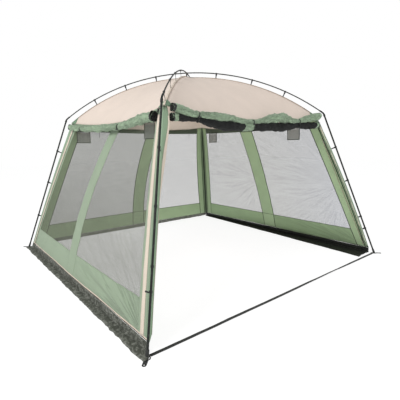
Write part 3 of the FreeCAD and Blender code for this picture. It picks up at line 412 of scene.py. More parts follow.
class Cloth:
    """Collects grids of cloth. The UVs are the flat pattern in metres, and hem is the distance to the
    nearest edge, also in metres."""

    def __init__(self):
        self.points, self.faces, self.uvs, self.hems, self.slots = [], [], [], [], []
        self.area, self.longest = 0.0, 0.0

    def grid(self, us, vs, point, slot=None, flip=False):
        """point(u, v) gives the place; us and vs are distances over the flat pattern."""
        start, wide = len(self.points), len(us)
        size_u, size_v = us[-1] - us[0], vs[-1] - vs[0]
        for v in vs:
            for u in us:
                self.points.append(point(u, v))
                self.uvs.append((u, v))
                self.hems.append(max(0.0, min(u - us[0], us[-1] - u, v - vs[0], vs[-1] - v)))
        for j in range(len(vs) - 1):
            for i in range(wide - 1):
                a = start + j * wide + i
                face = (a, a + 1, a + wide + 1, a + wide)
                self.faces.append(face[::-1] if flip else face)
                self.slots.append(slot((us[i] + us[i + 1]) / 2, (vs[j] + vs[j + 1]) / 2) if slot else 0)
        self.area += size_u * size_v
        self.longest = max(self.longest, size_u, size_v)

    def disc(self, centre, hem, rings):
        """Closed rings round a centre; each of their points is a place and its distance to the edge."""
        self.points, self.uvs, self.hems = [centre], [(0.0, 0.0)], [hem]
        for place, distance in (spot for ring in rings for spot in ring):
            self.points.append(place)
            self.uvs.append((place.x, place.y))
            self.hems.append(distance)
        count = len(rings[0])
        for j in range(len(rings)):
            a, b = 1 + (j - 1) * count, 1 + j * count
            for k in range(count):
                n = (k + 1) % count
                self.faces.append((a + k, b + k, b + n, a + n) if j else (0, b + k, b + n))
        self.slots = [0] * len(self.faces)

    def build(self, name, materials, thick=0.0012, inner=None, body="shelter", slot=None, replaces=(),
              held=None, rests_on=(), length=None):
        """Makes the piece, gives it a thickness, hangs it on its body and hides the parts that it replaces.
        slot, held, rests_on and length are not used."""
        mesh = bpy.data.meshes.new(name)
        mesh.from_pydata([tuple(p) for p in self.points], [], self.faces)
        layer = mesh.uv_layers.new(name="pattern")
        corner_points = np.zeros(len(mesh.loops), np.int32)
        mesh.loops.foreach_get("vertex_index", corner_points)
        layer.data.foreach_set("uv", np.array(self.uvs, np.float32)[corner_points].ravel())
        hem = mesh.attributes.new("hem", "FLOAT", "POINT")
        hem.data.foreach_set("value", np.array(self.hems, np.float32))
        mesh.polygons.foreach_set("material_index", self.slots)
        mesh.polygons.foreach_set("use_smooth", [True] * len(mesh.polygons))
        for material in materials:
            mesh.materials.append(material)
        piece = bpy.data.objects.new(name, mesh)
        bpy.context.scene.collection.objects.link(piece)
        if thick:
            shell = piece.modifiers.new("thickness", "SOLIDIFY")
            shell.thickness = thick
            shell.offset = -1.0
            if inner:
                shell.material_offset = inner
        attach(piece, body)
        if replaces:
            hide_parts(*replaces)
        return piece


def steps(low, high, size, edge=0.0):
    """Evenly spaced values, with one more just inside each end where an edge is finished apart."""
    inner = [low + edge, high - edge] if edge else [low, high]
    count = max(1, math.ceil((inner[1] - inner[0]) / size - 1e-6))
    values = [inner[0] + (inner[1] - inner[0]) * i / count for i in range(count + 1)]
    return [low] + values + [high] if edge else values


# ---------------------------------------------------------------- how the walls hang

# how strongly the cloth is drawn into creases that fan out from each lower corner
CORNER_PULL, CORNER_PULL_R = 0.014, 0.024
FANS = {("left", 1): 0.7, ("right", -1): 0.8, ("left", -1): 0.45, ("right", 1): 0.35,
        ("back", -1): 0.4, ("back", 1): 0.4, ("front", 1): 0.0, ("front", -1): 0.0}


def ruffle(wall, along, z):
    """How far a point of a wall's cloth stands off its smooth form."""
    seed = 3.0 + 7.0 * WALLS.index(wall)
    total = 0.0
    for end in (-1, 1):
        strength = FANS[wall, end]
        across = CORNER_FOOT - end * along
        up = z - 0.02
        reach = math.hypot(across, up)
        if reach < 2.4 and strength:
            angle = math.atan2(up, max(across, 1e-4))
            fold = wave(angle * 9.0, reach * 0.5, seed + end, 2)
            fold += 0.5 * wave(angle * 21.0, reach * 0.8, seed + 2 + end, 1)
            total += strength * fold * 0.011 * ease(reach, 0.05, 0.5) * (1 - ease(reach, 0.9, 2.4))
    calm = ease(corner_half(z) - abs(along), 0.03, 0.25)
    broad = 0.006 * wave(along * 1.3 + z * 0.6, z * 1.1, seed + 20, 2)
    slant = 0.0022 * wave(along * 5.0 + z * 9.0, (z - along) * 1.2, seed + 30, 2)
    return (total + broad + slant) * calm


# the wall cloth hangs plain up to here, and meets the eave this far inside it and above it
HANG, EAVE_IN, EAVE_UP = 1.60, 0.010, 0.001
# the clips pull the corners out most at this height, and not at all this far above or below it
PULL_HEIGHT, PULL_REACH = 0.85, 0.75


def wall_point(wall, along, z, lift=0.0):
    """A point of a wall's cloth. From HANG up to WALL_HIGH the cloth is drawn out to the eave."""
    rise = max(0.0, (z - HANG) / (WALL_HIGH - HANG))
    if rise:
        top_out, top_z = eave(along)
        top_out, top_z = top_out - EAVE_IN, top_z + EAVE_UP
        z = HANG + (top_z - HANG) * rise
        limit = ROOF_EDGE - 0.002
        lift += (top_out - wall_out(wall, along, top_z)) * rise ** 2
        along += (max(-limit, min(limit, along)) - along) * rise ** 2
    near = 1 - ease(corner_half(z) - abs(along), 0.0, 0.14)
    at_r = (wall, along > 0) in (("right", False), ("front", True))
    level = max(0.0, 1 - ((z - PULL_HEIGHT) / PULL_REACH) ** 2)
    pull = (CORNER_PULL_R if at_r else CORNER_PULL) * near * level / math.sqrt(2)
    out = wall_out(wall, along, z) + ruffle(wall, along, z) + lift + pull
    return TURN[wall] @ Vector((along + math.copysign(pull, along), -out, z))


def strip_on(cloth, wall, left, right, low, high, width, lift=0.0, edge=0.0, pitch=0.02, rise=0.03,
             slots=(0, 0), lift_at=None):
    """A strip up a wall; left and right give its edges at each height, and width its flat width."""
    us, vs = steps(0.0, width, pitch, edge), steps(low, high, rise)

    def point(u, v):
        a, b = left(v), right(v)
        along = a + (b - a) * u / width
        extra = lift_at(u, v) if lift_at else 0.0
        return wall_point(wall, along, v, lift + extra)

    cloth.grid(us, vs, point, lambda u, v: slots[1] if min(u, width - u) < edge else slots[0])


def inset(end, distance):
    return lambda z: end * (corner_half(z) - distance)


def beside(cloth, wall, end, near, far, low, high, **options):
    """A strip along one end of a wall, between two distances in from the corner."""
    first, last = (inset(end, far), inset(end, near)) if end > 0 else (inset(end, near), inset(end, far))
    strip_on(cloth, wall, first, last, low, high, far - near, **options)


# ---------------------------------------------------------------- camera, floor and light

scene = bpy.context.scene
# the camera's place, and how far it is turned from +Y, tipped up and rolled, in degrees
CAMERA_PLACE, CAMERA_TURN, LENS = (-2.685, -3.508, 1.390), (38.95, -8.93, -0.81), 29.70
# the white room's strength as light, and as the camera sees it
ROOM_LIGHT, ROOM_SEEN = 0.50, 1.0
FLOOR_HALF, FLOOR_DROP, FLOOR_GREY, FLOOR_GLOW = 30.0, 0.0005, 0.25, 0.87

camera_data = bpy.data.cameras.new("camera")
camera_data.lens, camera_data.sensor_width = LENS, 36.0
camera_data.clip_end = 200.0
camera = bpy.data.objects.new("camera", camera_data)
yaw, pitch, roll = (math.radians(a) for a in CAMERA_TURN)
forward = Vector((math.sin(yaw) * math.cos(pitch), math.cos(yaw) * math.cos(pitch), math.sin(pitch)))
level_right = Vector((math.cos(yaw), -math.sin(yaw), 0.0))
level_up = level_right.cross(forward)
right = level_right * math.cos(roll) + level_up * math.sin(roll)
up = level_up * math.cos(roll) - level_right * math.sin(roll)
turned = Matrix((right, up, -forward)).transposed().to_4x4()
camera.matrix_world = Matrix.Translation(CAMERA_PLACE) @ turned
scene.collection.objects.link(camera)
scene.camera = camera

scene.view_settings.view_transform = "Standard"
world = bpy.data.worlds.new("white_room")
scene.world = world
world.use_nodes = True
background = world.node_tree.nodes["Background"]
background.inputs["Color"].default_value = (1.0, 1.0, 1.0, 1.0)
seen = world.node_tree.nodes.new("ShaderNodeLightPath")
strength = world.node_tree.nodes.new("ShaderNodeMapRange")
strength.inputs["To Min"].default_value = ROOM_LIGHT
strength.inputs["To Max"].default_value = ROOM_SEEN
world.node_tree.links.new(seen.outputs["Is Camera Ray"], strength.inputs["Value"])
world.node_tree.links.new(strength.outputs["Result"], background.inputs["Strength"])


def lamp(name, place, size, watts):
    """A round soft light aimed at the middle of the shelter."""
    data = bpy.data.lights.new(name, "AREA")
    data.shape, data.size, data.energy = "DISK", size, watts
    item = bpy.data.objects.new(name, data)
    item.location = place
    item.rotation_euler = (Vector((0.0, 0.0, 1.0)) - Vector(place)).to_track_quat("-Z", "Y").to_euler()
    scene.collection.objects.link(item)


lamp("key", (-7.2, -1.4, 6.8), 4.0, 360.0)
lamp("fill", (3.2, -7.2, 4.6), 5.0, 66.0)

floor_mesh = bpy.data.meshes.new("floor")
corners = [(x * FLOOR_HALF, y * FLOOR_HALF, 0) for x, y in ((-1, -1), (1, -1), (1, 1), (-1, 1))]
floor_mesh.from_pydata(corners, [], [(0, 1, 2, 3)])
floor_finish = Finish("floor_white", Roughness=1.0, Base_Color=(FLOOR_GREY, FLOOR_GREY, FLOOR_GREY, 1.0),
                      Specular_IOR_Level=0.0, Emission_Color=(1.0, 1.0, 1.0, 1.0),
                      Emission_Strength=FLOOR_GLOW)
floor_mesh.materials.append(floor_finish.material)
floor = bpy.data.objects.new("floor", floor_mesh)
floor.location.z = -FLOOR_DROP
scene.collection.objects.link(floor)

# ---------------------------------------------------------------- short ties inside the back wall

TIE_TOP, TIE_LENGTH, TIE_RADIUS, TIE_IN = 1.628, 0.070, 0.0025, 0.0075
# how each tie sways to the side as it drops
TIE_DROPS = [(0.0, 0.0), (0.001, 0.022), (-0.003, 0.046), (0.004, 0.070)]
for side, along in (("a", 0.780), ("b", -0.820)):
    out = wall_out("back", along, TIE_TOP) - TIE_IN
    route = [TURN["back"] @ Vector((along + sway, -out + 0.4 * sway, TIE_TOP - drop))
             for sway, drop in TIE_DROPS]
    curve = bpy.data.curves.new("inside_tie_" + side, "CURVE")
    curve.dimensions = "3D"
    curve.bevel_depth = TIE_RADIUS
    curve.bevel_resolution = 4
    curve.use_fill_caps = True
    line = curve.splines.new("NURBS")
    line.points.add(len(route) - 1)
    for spot, place in zip(line.points, route):
        spot.co = (*place, 1.0)
    line.order_u = 3
    line.use_endpoint_u = True
    curve.materials.append(CORD)
    cord = bpy.data.objects.new("inside_tie_" + side, curve)
    scene.collection.objects.link(cord)
    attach(cord, "shelter")
    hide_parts("inside_ties")
    tuple(route[0])

# ---------------------------------------------------------------- canopy


def gore_ruffle(half, across):
    """Soft creases drawn in from the eave and along the seams of one gore."""
    side = abs(across)
    rim = ease(half, 0.55, ROOF_EDGE)
    lines = 0.006 * wave(across * 5.5, half * 1.2, 61.0, 2) * rim * (1 - across ** 4)
    by_seam = ease(side, 0.6, 0.97) * (1 - ease(side, 0.97, 1.0))
    seam = 0.003 * wave(across * 2.0 + 4, half * 7.0, 71.0, 2) * by_seam
    broad = 0.007 * wave(across * 1.3, half * 1.6, 81.0, 2) * ease(half, 0.05, 0.5) * (1 - across ** 4)
    return lines + seam + broad


def canopy():
    """One continuous sheet over all four gores, ring by ring from the crown to the eave."""
    ring_count, gore_count = 44, 40
    rings = []
    for i in range(1, ring_count + 1):
        half = ROOF_EDGE * (i / ring_count) ** 0.9
        ring = []
        for wall in WALLS:
            for k in range(gore_count):
                across = -1 + 2 * k / gore_count
                extra = gore_ruffle(half, across) if k else 0.0
                place = TURN[wall] @ roof_point(half, across, extra, LOW_END[wall])
                ring.append((place, min((ROOF_EDGE - half) * 1.2, half * (1 - abs(across)))))
        rings.append(ring)
    cloth = Cloth()
    cloth.disc(Vector((0, 0, seam_height("r", 0))), 1.0, rings)
    piece = cloth.build("canopy", [ROOF, ROOF_IN], thick=0.0014, inner=1, slot="roof_cloth",
                        replaces=["roof_panel_" + wall for wall in WALLS])


canopy()

# each corner's cap: its length along the eave, its height there, how much of that it tapers by,
# and how far it stands off the canopy
CAP_ALONG, CAP_UP, CAP_TIP, CAP_OFF = 0.105, 0.075, 0.85, 0.0030


def corner_caps():
    """Green patches folded over the canopy's four corners, tapering along the eaves."""
    cloth = Cloth()
    for ends in CORNER_WALLS.values():
        for wall, end in ends:

            def point(u, v):
                half = ROOF_EDGE - v * (1 - CAP_TIP * u / CAP_ALONG)
                across = end * (1 - u / half)
                local = roof_point(half, across, gore_ruffle(half, across) - CAP_OFF, LOW_END[wall])
                return TURN[wall] @ local

            cloth.grid(steps(0.0, CAP_ALONG, 0.007), steps(0.0, CAP_UP, 0.0075), point, flip=end > 0)
    cloth.area = 8 * CAP_ALONG * CAP_UP * (1 - CAP_TIP / 2)
    cloth.build("canopy_corner_caps", [CAP], slot="green_cloth", held="stretched", rests_on=["canopy"])


corner_caps()


def seam_tapes():
    """Felled seams over the four ridges, standing a little proud, from the crown to the eave."""
    cloth = Cloth()
    middle, crown_end, proud, rounded = 0.009, 0.02, 0.0036, 0.0029
    length = math.sqrt(2) * ROOF_EDGE * 1.06
    for corner, (side_x, side_y) in CORNERS.items():
        diagonal = Vector((side_x, side_y, 0)).normalized()
        across = Vector((-diagonal.y, diagonal.x, 0))

        def point(u, v):
            half = crown_end + (ROOF_EDGE - crown_end) * v / length
            edge = abs(u - middle) / middle
            height = seam_height(corner, half) + proud - rounded * edge ** 2
            wander = 0.0015 * wave(v * 9, side_x + 2 * side_y, 5.0)
            spot = diagonal * (math.sqrt(2) * half) + across * (u - middle + wander)
            return spot + Vector((0, 0, height))

        cloth.grid(steps(0.0, 2 * middle, 0.003), steps(0.0, length, 0.03), point)
    cloth.build("canopy_seams", [BEIGE], slot="roof_cloth", replaces=["roof_seam_bindings"],
                held="stretched", rests_on=["canopy"])


seam_tapes()


def crown():
    """Reinforcement patch stitched over the middle of the canopy."""
    radius, ring_count, turns, proud = 0.075, 8, 48, 0.0065
    rings = []
    for i in range(1, ring_count + 1):
        r = radius * i / ring_count
        ring = []
        for k in range(turns):
            angle = 2 * math.pi * k / turns
            square = max(abs(math.cos(angle)), abs(math.sin(angle)))
            height = seam_height("n", r * square * 0.9) + proud - 0.0025 * (i / ring_count) ** 4
            ring.append((Vector((r * math.cos(angle), r * math.sin(angle), height)), radius - r))
        rings.append(ring)
    cloth = Cloth()
    cloth.disc(Vector((0, 0, seam_height("r", 0) + proud)), radius, rings)
    piece = cloth.build("crown_reinforcement", [BEIGE], thick=0.0015, slot="roof_cloth",
                        replaces=["crown_patch"])


crown()

# ---------------------------------------------------------------- closed walls


def fixed(along):
    return lambda z: along


def closed_wall(wall):
    """Netting, solid band, borders, centre strip and header of one closed wall."""
    middle, half = WALL_STRIPS[wall]
    left_edge, right_edge = middle - half, middle + half
    lap, net_lap = 0.004, 0.008

    band = Cloth()
    band_width = 2 * (corner_half(BAND_LOW) - SEAM_IN)
    strip_on(band, wall, inset(-1, SEAM_IN), inset(1, SEAM_IN), BAND_LOW, BAND_HIGH, band_width,
             pitch=0.022, rise=0.0166)
    outside = GREEN_FAN if wall == "left" else GREEN
    inside = GREEN_IN_FAN if wall == "right" else GREEN_IN
    band.build("band_" + wall + "_cloth", [outside, inside], inner=1, slot="green_cloth",
               replaces=["band_" + wall], held="hung")

    trims = Cloth()
    shared = dict(edge=0.011, lift=0.0016, slots=(0, 2), rise=0.025)
    low = BAND_LOW + 0.002
    for end in (-1, 1):
        beside(trims, wall, end, SEAM_IN, BORDER, low, WALL_HIGH, pitch=0.018, **shared)
    strip_on(trims, wall, fixed(left_edge), fixed(right_edge), low, MESH_HIGH + lap, 2 * half, **shared)
    # the header: green outside, and on its inside the dark green of painted shade
    header = 2 * (corner_half(MESH_HIGH) - BORDER + lap)
    strip_on(trims, wall, inset(-1, BORDER - lap), inset(1, BORDER - lap), MESH_HIGH - lap, WALL_HIGH,
             header, lift=0.0005, pitch=0.025, rise=0.0115, slots=(4, 4))
    # the dark seam tape along the top of the band
    tape = 0.006
    strip_on(trims, wall, inset(-1, BORDER), inset(1, BORDER), BAND_HIGH - tape, BAND_HIGH,
             2 * (corner_half(BAND_HIGH) - BORDER), lift=0.0009, pitch=0.022, rise=tape, slots=(2, 2))
    trims.build("trims_" + wall, [GREEN, GREEN_IN, GREEN, TAPE_AND_FOLD_SHADE, GREEN, HEADER_SHADE], thick=0.0040, inner=1,
                slot="green_cloth", replaces=["border_" + wall], held="hung", length=3.2)

    net = Cloth()
    net_half = corner_half(0.9) - BORDER - half + 2 * net_lap
    for first, last in ((inset(-1, BORDER - net_lap), fixed(left_edge + net_lap)),
                        (fixed(right_edge - net_lap), inset(1, BORDER - net_lap))):
        strip_on(net, wall, first, last, BAND_HIGH - 0.006, MESH_HIGH + 0.002, net_half, pitch=0.022,
                 rise=0.022)
    net.build("netting_" + wall, [NETS[wall]], thick=0.0, slot="mesh_grey", replaces=["mesh_" + wall],
              held="stretched")

    hem = Cloth()
    hem_middle, hem_half, brown_top = BAND_LOW + 0.009, 0.009, BAND_LOW + 0.0055
    strip_on(hem, wall, inset(-1, 0.03), inset(1, 0.03), BAND_LOW - 0.002, BAND_LOW + 0.016, band_width,
             lift=0.0035, pitch=0.022, rise=0.003,
             lift_at=lambda u, v: -0.0022 * ((v - hem_middle) / hem_half) ** 2)
    hem.slots = [0 if hem.points[face[0]].z > brown_top else 1 for face in hem.faces]
    hem.build("hem_" + wall, [BEIGE, BROWN], slot="trim_beige", held="hung")


for wall in ("right", "back", "left"):
    closed_wall(wall)

# ---------------------------------------------------------------- corner posts and the flaps over their seams

# a post's reach from its fold on the door side and on a closed wall, and its flat height
POST_DOOR, POST_WALL, POST_FLAT = 0.060, 0.045, 1.70
# the door strip at n turns in from this far beside its fold
TURN_FROM = 0.018
DOOR_FLAP_HIGH, DOOR_FLAP_TAPER, FLAP_LOW = 1.64, 0.80, 0.080
# how near and far from the corner each flap lies, and how loose its free edge is
DOOR_FLAPS = {"n": (0.020, 0.060, 1.0), "r": (0.040, 0.062, 2.2)}
WALL_FLAP = (0.075, 0.118, 0.35)


def door_turn(corner, far, z):
    """The door's edge hangs loose at n and turns in below the middle: how far along and how far in."""
    if corner != "n" or far < TURN_FROM:
        return far, 0.0
    open_share = min(1.0, 0.05 + 0.95 * ease(z, 0.55, 1.50) + 0.38 * (1 - ease(z, 0.05, 0.60)))
    turned = far - TURN_FROM
    return TURN_FROM + turned * open_share, turned * math.sqrt(1 - open_share ** 2)


def corner_post(corner):
    """One strip folded round a corner, wider on the door side, with a soft rounded fold."""
    (wall_a, end_a), (wall_b, end_b) = CORNER_WALLS[corner]
    reach_a, reach_b = (POST_DOOR if wall == "front" else POST_WALL for wall in (wall_a, wall_b))

    def point(u, v):
        far = abs(u)
        wall, end = (wall_a, end_a) if u < 0 else (wall_b, end_b)
        low = BAND_LOW
        if wall == "front":
            low += (DOOR_LOW - BAND_LOW) * ease(far, 0.0, 0.02) + 0.018 * ease(far, 0.045, POST_DOOR) ** 2
        z = low + (WALL_HIGH - low) * v / POST_FLAT
        soft = 0.0028 * math.exp(-(u / 0.006) ** 2)
        ripple = 0.0022 * wave(z * 7.0, u * 9.0, 11.0 + ord(corner)) * ease(far, 0.004, 0.02)
        inwards = 0.0
        if wall == "front":
            ripple += 0.004 * wave(z * 4.5, 3.0, 17.0 + ord(corner)) * ease(far, 0.02, POST_DOOR)
            far, inwards = door_turn(corner, far, z)
        place = wall_point(wall, end * (corner_half(z) - far), z, ripple - inwards)
        centre = Vector((0, 0, z))
        return place + (centre - place).normalized() * soft

    cloth = Cloth()
    # within 22 mm of the fold the inside is the dark tape cloth: painted shade in the corner
    cloth.grid(steps(-reach_a, reach_b, 0.0052), steps(0.0, POST_FLAT, 0.02), point,
               lambda u, v: 2 if abs(u) < 0.022 else 0)
    cloth.build("post_" + corner, [POST, POST_IN, POST, TAPE_AND_FOLD_SHADE], thick=0.0016, inner=1, slot="green_cloth",
                replaces=["corner_post_" + corner], held="hung")


for corner in CORNERS:
    corner_post(corner)


def seam_flaps():
    """Beige flaps over the corner seams: sewn along one edge, free and a little curled at the other."""
    cloth = Cloth()
    for corner, ends in CORNER_WALLS.items():
        for wall, end in ends:
            door = wall == "front"
            near, far, loose = DOOR_FLAPS[corner] if door else WALL_FLAP
            width = far - near
            seed = 23.0 + ord(corner) + WALLS.index(wall)

            def point(u, v):
                free = 1 - u / width if end > 0 else u / width
                curl = (0.002 + 0.004 * free ** 1.5 + loose * 0.006 * free * (0.6 + wave(v * 6.0, seed, 1.0))
                        + 0.0016 * wave(v * 18.0, seed, 4.0) * free)
                share = 1 - DOOR_FLAP_TAPER * ease(v, 1.20, DOOR_FLAP_HIGH) if door else 1.0
                reach = far - (u if end > 0 else width - u) * share
                inwards = 0.0
                if door:
                    reach, inwards = door_turn(corner, reach, v)
                return wall_point(wall, end * (corner_half(v) - reach), v, 0.002 + curl - inwards)

            low, high = (DOOR_LOW, DOOR_FLAP_HIGH) if door else (FLAP_LOW, MESH_HIGH + 0.02)
            cloth.grid(steps(0.0, width, 0.0056), steps(low, high, 0.016), point)
    cloth.build("corner_flaps", [BEIGE], slot="trim_beige", replaces=["seam_flaps"], held="hung")


seam_flaps()

# ---------------------------------------------------------------- mud skirts


def crinkle(u, v, seed, size):
    return size * (0.6 * wave(u * 9.0, v * 11.0, seed, 4) + 0.4 * abs(wave(u * 24.0, v * 26.0, seed + 5, 3)))


# the skirts hang down this far before they lie on the floor, and never come lower than this
SKIRT_DROP, SKIRT_LOWEST = 0.072, 0.0022


def outer_skirt(wall, reach, seed, ends):
    """Hangs from the band and lies outwards on the floor, crumpled, with a ragged outer edge."""
    drop, half, foot = SKIRT_DROP, 1.648, 1.671
    flat_out = reach - 1.668
    width = drop + flat_out

    def point(u, v):
        edge = ease(v, width - 0.02, width)
        ragged = 0.010 * wave(u * 5.0, 1.0, seed + 9, 3) + 0.005 * wave(u * 21.0, 2.0, seed + 8, 2)
        if v < drop:
            t = v / drop
            out, z = 1.658 + 0.013 * t ** 2, 0.069 * (1 - t) + 0.006 * t
        else:
            out = foot + (v - drop) / flat_out * (reach - foot + ragged)
            z = 0.006 * (1 - edge) + 0.003
        lumps = crinkle(u, v * 3, seed, 0.010)
        fall = ease(v, 0.0, 0.02)
        slope = ease(v, drop * 0.5, drop * 1.15)
        out += lumps * (1 - slope) * fall * 1.1
        out += ruffle(wall, u, BAND_LOW) * (1 - ease(v, 0.0, drop))
        z = max(SKIRT_LOWEST, z + (lumps * 0.9 + 0.004) * slope * (1 - 0.6 * edge))
        along = u
        for end, grow in ends.items():
            tip = ease(end * u, half - 0.20, half)
            wander = 0.012 * wave(v * 30.0, 6.0, seed + end)
            along += end * grow * tip * ease(v, drop * 0.3, width) + end * tip * wander
        return TURN[wall] @ Vector((along, -out, z))

    cloth = Cloth()
    cloth.grid(steps(-half, half, 0.011), steps(0.0, width, 0.0075), point, flip=True)
    cloth.build("skirt_" + wall + "_cloth", [SKIRT_OUT], thick=0.0011, slot="skirt_black",
                replaces=["skirt_" + wall], held="hung", length=2 * half)


outer_skirt("left", 1.745, 31.0, {1: 0.085, -1: 0.02})
outer_skirt("back", 1.712, 37.0, {1: 0.01, -1: 0.01})


def inner_skirt():
    """The right skirt: hangs from the band and is tucked inwards over the floor, wider at the door."""
    drop, half, foot, tucked, seed = SKIRT_DROP, 1.645, 1.665, 0.26, 41.0

    def point(u, v):
        share = (half - u) / (2 * half)
        lying = 0.04 + 0.225 * share ** 1.15
        if v < drop:
            t = v / drop
            out, z = 1.653 + 0.012 * t ** 2, 0.068 * (1 - t) + 0.007 * t
            slope = 0.0
        else:
            s = (v - drop) / tucked
            wavy = 0.010 * wave(u * 2.2, 1.0, seed + 9, 3) + 0.004 * wave(u * 9.0, 1.0, seed + 3, 2)
            out, z = foot - s * (lying + wavy * s), 0.005 * (1 - ease(s, 0.8, 1.0)) + 0.003
            slope = ease(s, 0.0, 0.15)
        lumps = crinkle(u * 0.45, v * 2, seed, 0.008)
        out += lumps * (1 - slope) * ease(v, 0.0, 0.02)
        flat = ease(v, drop + 0.22, drop + tucked)
        z = max(SKIRT_LOWEST, z + (lumps + 0.003) * slope * (1 - 0.7 * flat))
        return TURN["right"] @ Vector((u, -out, z))

    cloth = Cloth()
    cloth.grid(steps(-half, half, 0.014), steps(0.0, drop + tucked, 0.0095), point)
    cloth.area = 2 * half * (drop + 0.16)
    cloth.build("skirt_right_cloth", [SKIRT_IN], thick=0.0011, slot="skirt_black", replaces=["skirt_right"],
                held="hung", length=2 * half)


inner_skirt()

# ---------------------------------------------------------------- rolled covers and the rolled door netting


# a roll's centre lies this far outside the eave; its cloth joins it at this angle from the top
ROLL_OUT, ROLL_JOIN = 0.044, math.radians(140)


def roll_middle(along, inwards):
    return eave(along)[0] + ROLL_OUT - inwards


def along_stations(stations, x):
    """Centre height and radius at x, smoothed between the stations."""
    xs = [s[0] for s in stations]
    heights, radii = [], []
    for offset in (-0.04, -0.02, 0.0, 0.02, 0.04):
        heights.append(np.interp(x + offset, xs, [s[1] for s in stations]))
        radii.append(np.interp(x + offset * 0.6, xs, [s[2] for s in stations]))
    return float(np.mean(heights)), float(np.mean(radii))


def rolled(name, wall, stations, seed, turns, core, inwards, materials, slots, node, finish_slot, ties,
           from_eave=True, lumpy=1.8):
    """Cloth rolled up: a spiral section carried along the eave, pinched where ties hold it."""
    ends = stations[0][0], stations[-1][0]
    us = [ends[0]]
    while us[-1] < ends[1] - 1e-6:
        near_end = min(us[-1] - ends[0], ends[1] - us[-1])
        near_tie = min(abs(us[-1] - tie) for tie in ties)
        step = 0.006 if near_end < 0.03 else 0.010 if near_tie < 0.12 else 0.016
        us.append(min(ends[1], us[-1] + step))
    total = turns * 2 * math.pi
    angles = [0.0]
    while True:
        angle = angles[-1] + math.radians(10 if angles[-1] < 2.2 * math.pi else 24)
        if angle >= total:
            break
        angles.append(angle)
    mean_radius = float(np.mean([s[2] for s in stations]))

    def radius_at(angle):
        return 1 - (1 - core) * angle / total

    run = [0.0]
    for first, last in zip(angles, angles[1:]):
        run.append(run[-1] + mean_radius * (radius_at(first) + radius_at(last)) / 2 * (last - first))
    lead = [-0.05, -0.025] if from_eave else []

    def point(u, v):
        height, radius = along_stations(stations, u)
        out = roll_middle(u, inwards)
        if v < 0:
            eave_out, eave_height = eave(u)
            start = Vector((eave_out + 0.001, 0, eave_height + 0.002))
            end = Vector((out + radius * math.cos(ROLL_JOIN), 0, height + radius * math.sin(ROLL_JOIN)))
            spot = start.lerp(end, 0.0 if v == lead[0] else 0.5)
            return TURN[wall] @ Vector((u, -spot.x, spot.z))
        angle = angles[int(np.argmin(np.abs(np.array(run) - v)))]
        size = radius * radius_at(angle)
        turn = ROLL_JOIN - angle
        pinch = max(math.exp(-((u - tie) / 0.09) ** 2) for tie in ties)
        pleat = wave(turn * 2.6, u * 2.5, seed, 2) * 0.0065 * (0.25 + pinch)
        twist = wave(turn * 0.9 + u * 7.0, u * 9.0, seed + 3, 3) * 0.0075
        broad = wave(turn * 0.5, u * 5.0, seed + 6, 2) * 0.006
        shell = ease(size, 0.4 * radius, radius)
        inside = ease(min(u - ends[0], ends[1] - u), 0.03, 0.10)
        crush = (abs(wave(turn * 2.4, u * 17.0, seed + 9, 2)) - 0.2) * 0.011 * inside
        size += lumpy * (pleat + twist + broad + crush) * shell * radius / 0.04
        flat = 0.93 if math.sin(turn) < 0 else 1.0
        return TURN[wall] @ Vector((u, -(out + size * math.cos(turn)), height + flat * size * math.sin(turn)))

    cloth = Cloth()
    cloth.grid(us, lead + run, point, slots, flip=True)
    cloth.build(name, materials, thick=0.0013, slot=finish_slot, replaces=[node], held="gathered")


# stations along each roll: place, height of the centre and radius, where it swells, sags and is tied
FRONT_COVER = [(-1.085, 1.731, .036), (-1.04, 1.722, .036), (-.93, 1.698, .035), (-.86, 1.688, .030),
               (-.79, 1.684, .024), (-.72, 1.683, .030), (-.61, 1.679, .036), (-.49, 1.676, .037),
               (-.355, 1.671, .034), (-.24, 1.660, .031), (-.14, 1.648, .025), (-.03, 1.646, .022),
               (.09, 1.664, .028), (.22, 1.691, .042), (.355, 1.708, .052), (.50, 1.705, .046),
               (.63, 1.687, .030), (.735, 1.682, .021), (.83, 1.702, .034), (.95, 1.730, .044),
               (1.05, 1.749, .048), (1.10, 1.757, .045)]
FRONT_NET = [(-1.085, 1.652, .038), (-1.04, 1.651, .036), (-.93, 1.650, .028), (-.79, 1.647, .021),
             (-.72, 1.637, .028), (-.61, 1.617, .037), (-.49, 1.603, .046), (-.355, 1.600, .049),
             (-.24, 1.599, .049), (-.14, 1.602, .046), (-.03, 1.604, .043), (.09, 1.606, .046),
             (.22, 1.606, .048), (.36, 1.608, .050), (.50, 1.616, .050), (.635, 1.627, .044),
             (.735, 1.640, .027), (.83, 1.638, .040), (.96, 1.640, .043), (1.05, 1.648, .044),
             (1.10, 1.655, .043)]
LEFT_COVER = [(-1.085, 1.690, .040), (-1.02, 1.682, .038), (-.77, 1.652, .029), (-.67, 1.640, .035),
              (-.35, 1.634, .038), (-.06, 1.628, .038), (.147, 1.622, .034), (.24, 1.617, .027),
              (.36, 1.624, .035), (.53, 1.638, .042), (.69, 1.653, .045), (.84, 1.667, .042),
              (.92, 1.665, .044), (1.00, 1.659, .047), (1.045, 1.656, .047)]
FRONT_TIES, PLAIN_TIES = (-.79, -.03, .735), (-.77, -.02, .80)


def plain_cover(seed):
    """A cover's stations where nothing more is known: the eave's line, pinched at its ties."""
    stations = []
    for i in range(19):
        x = -1.08 + 2.16 * i / 18
        pinch = max(math.exp(-((x - tie) / 0.08) ** 2) for tie in PLAIN_TIES)
        radius = 0.040 - 0.014 * pinch + 0.004 * wave(x * 2.5, seed, 1.0)
        stations.append((x, eave(x)[1] + 0.006 * wave(x * 2.0, seed, 3.0) - 0.004, radius))
    return stations


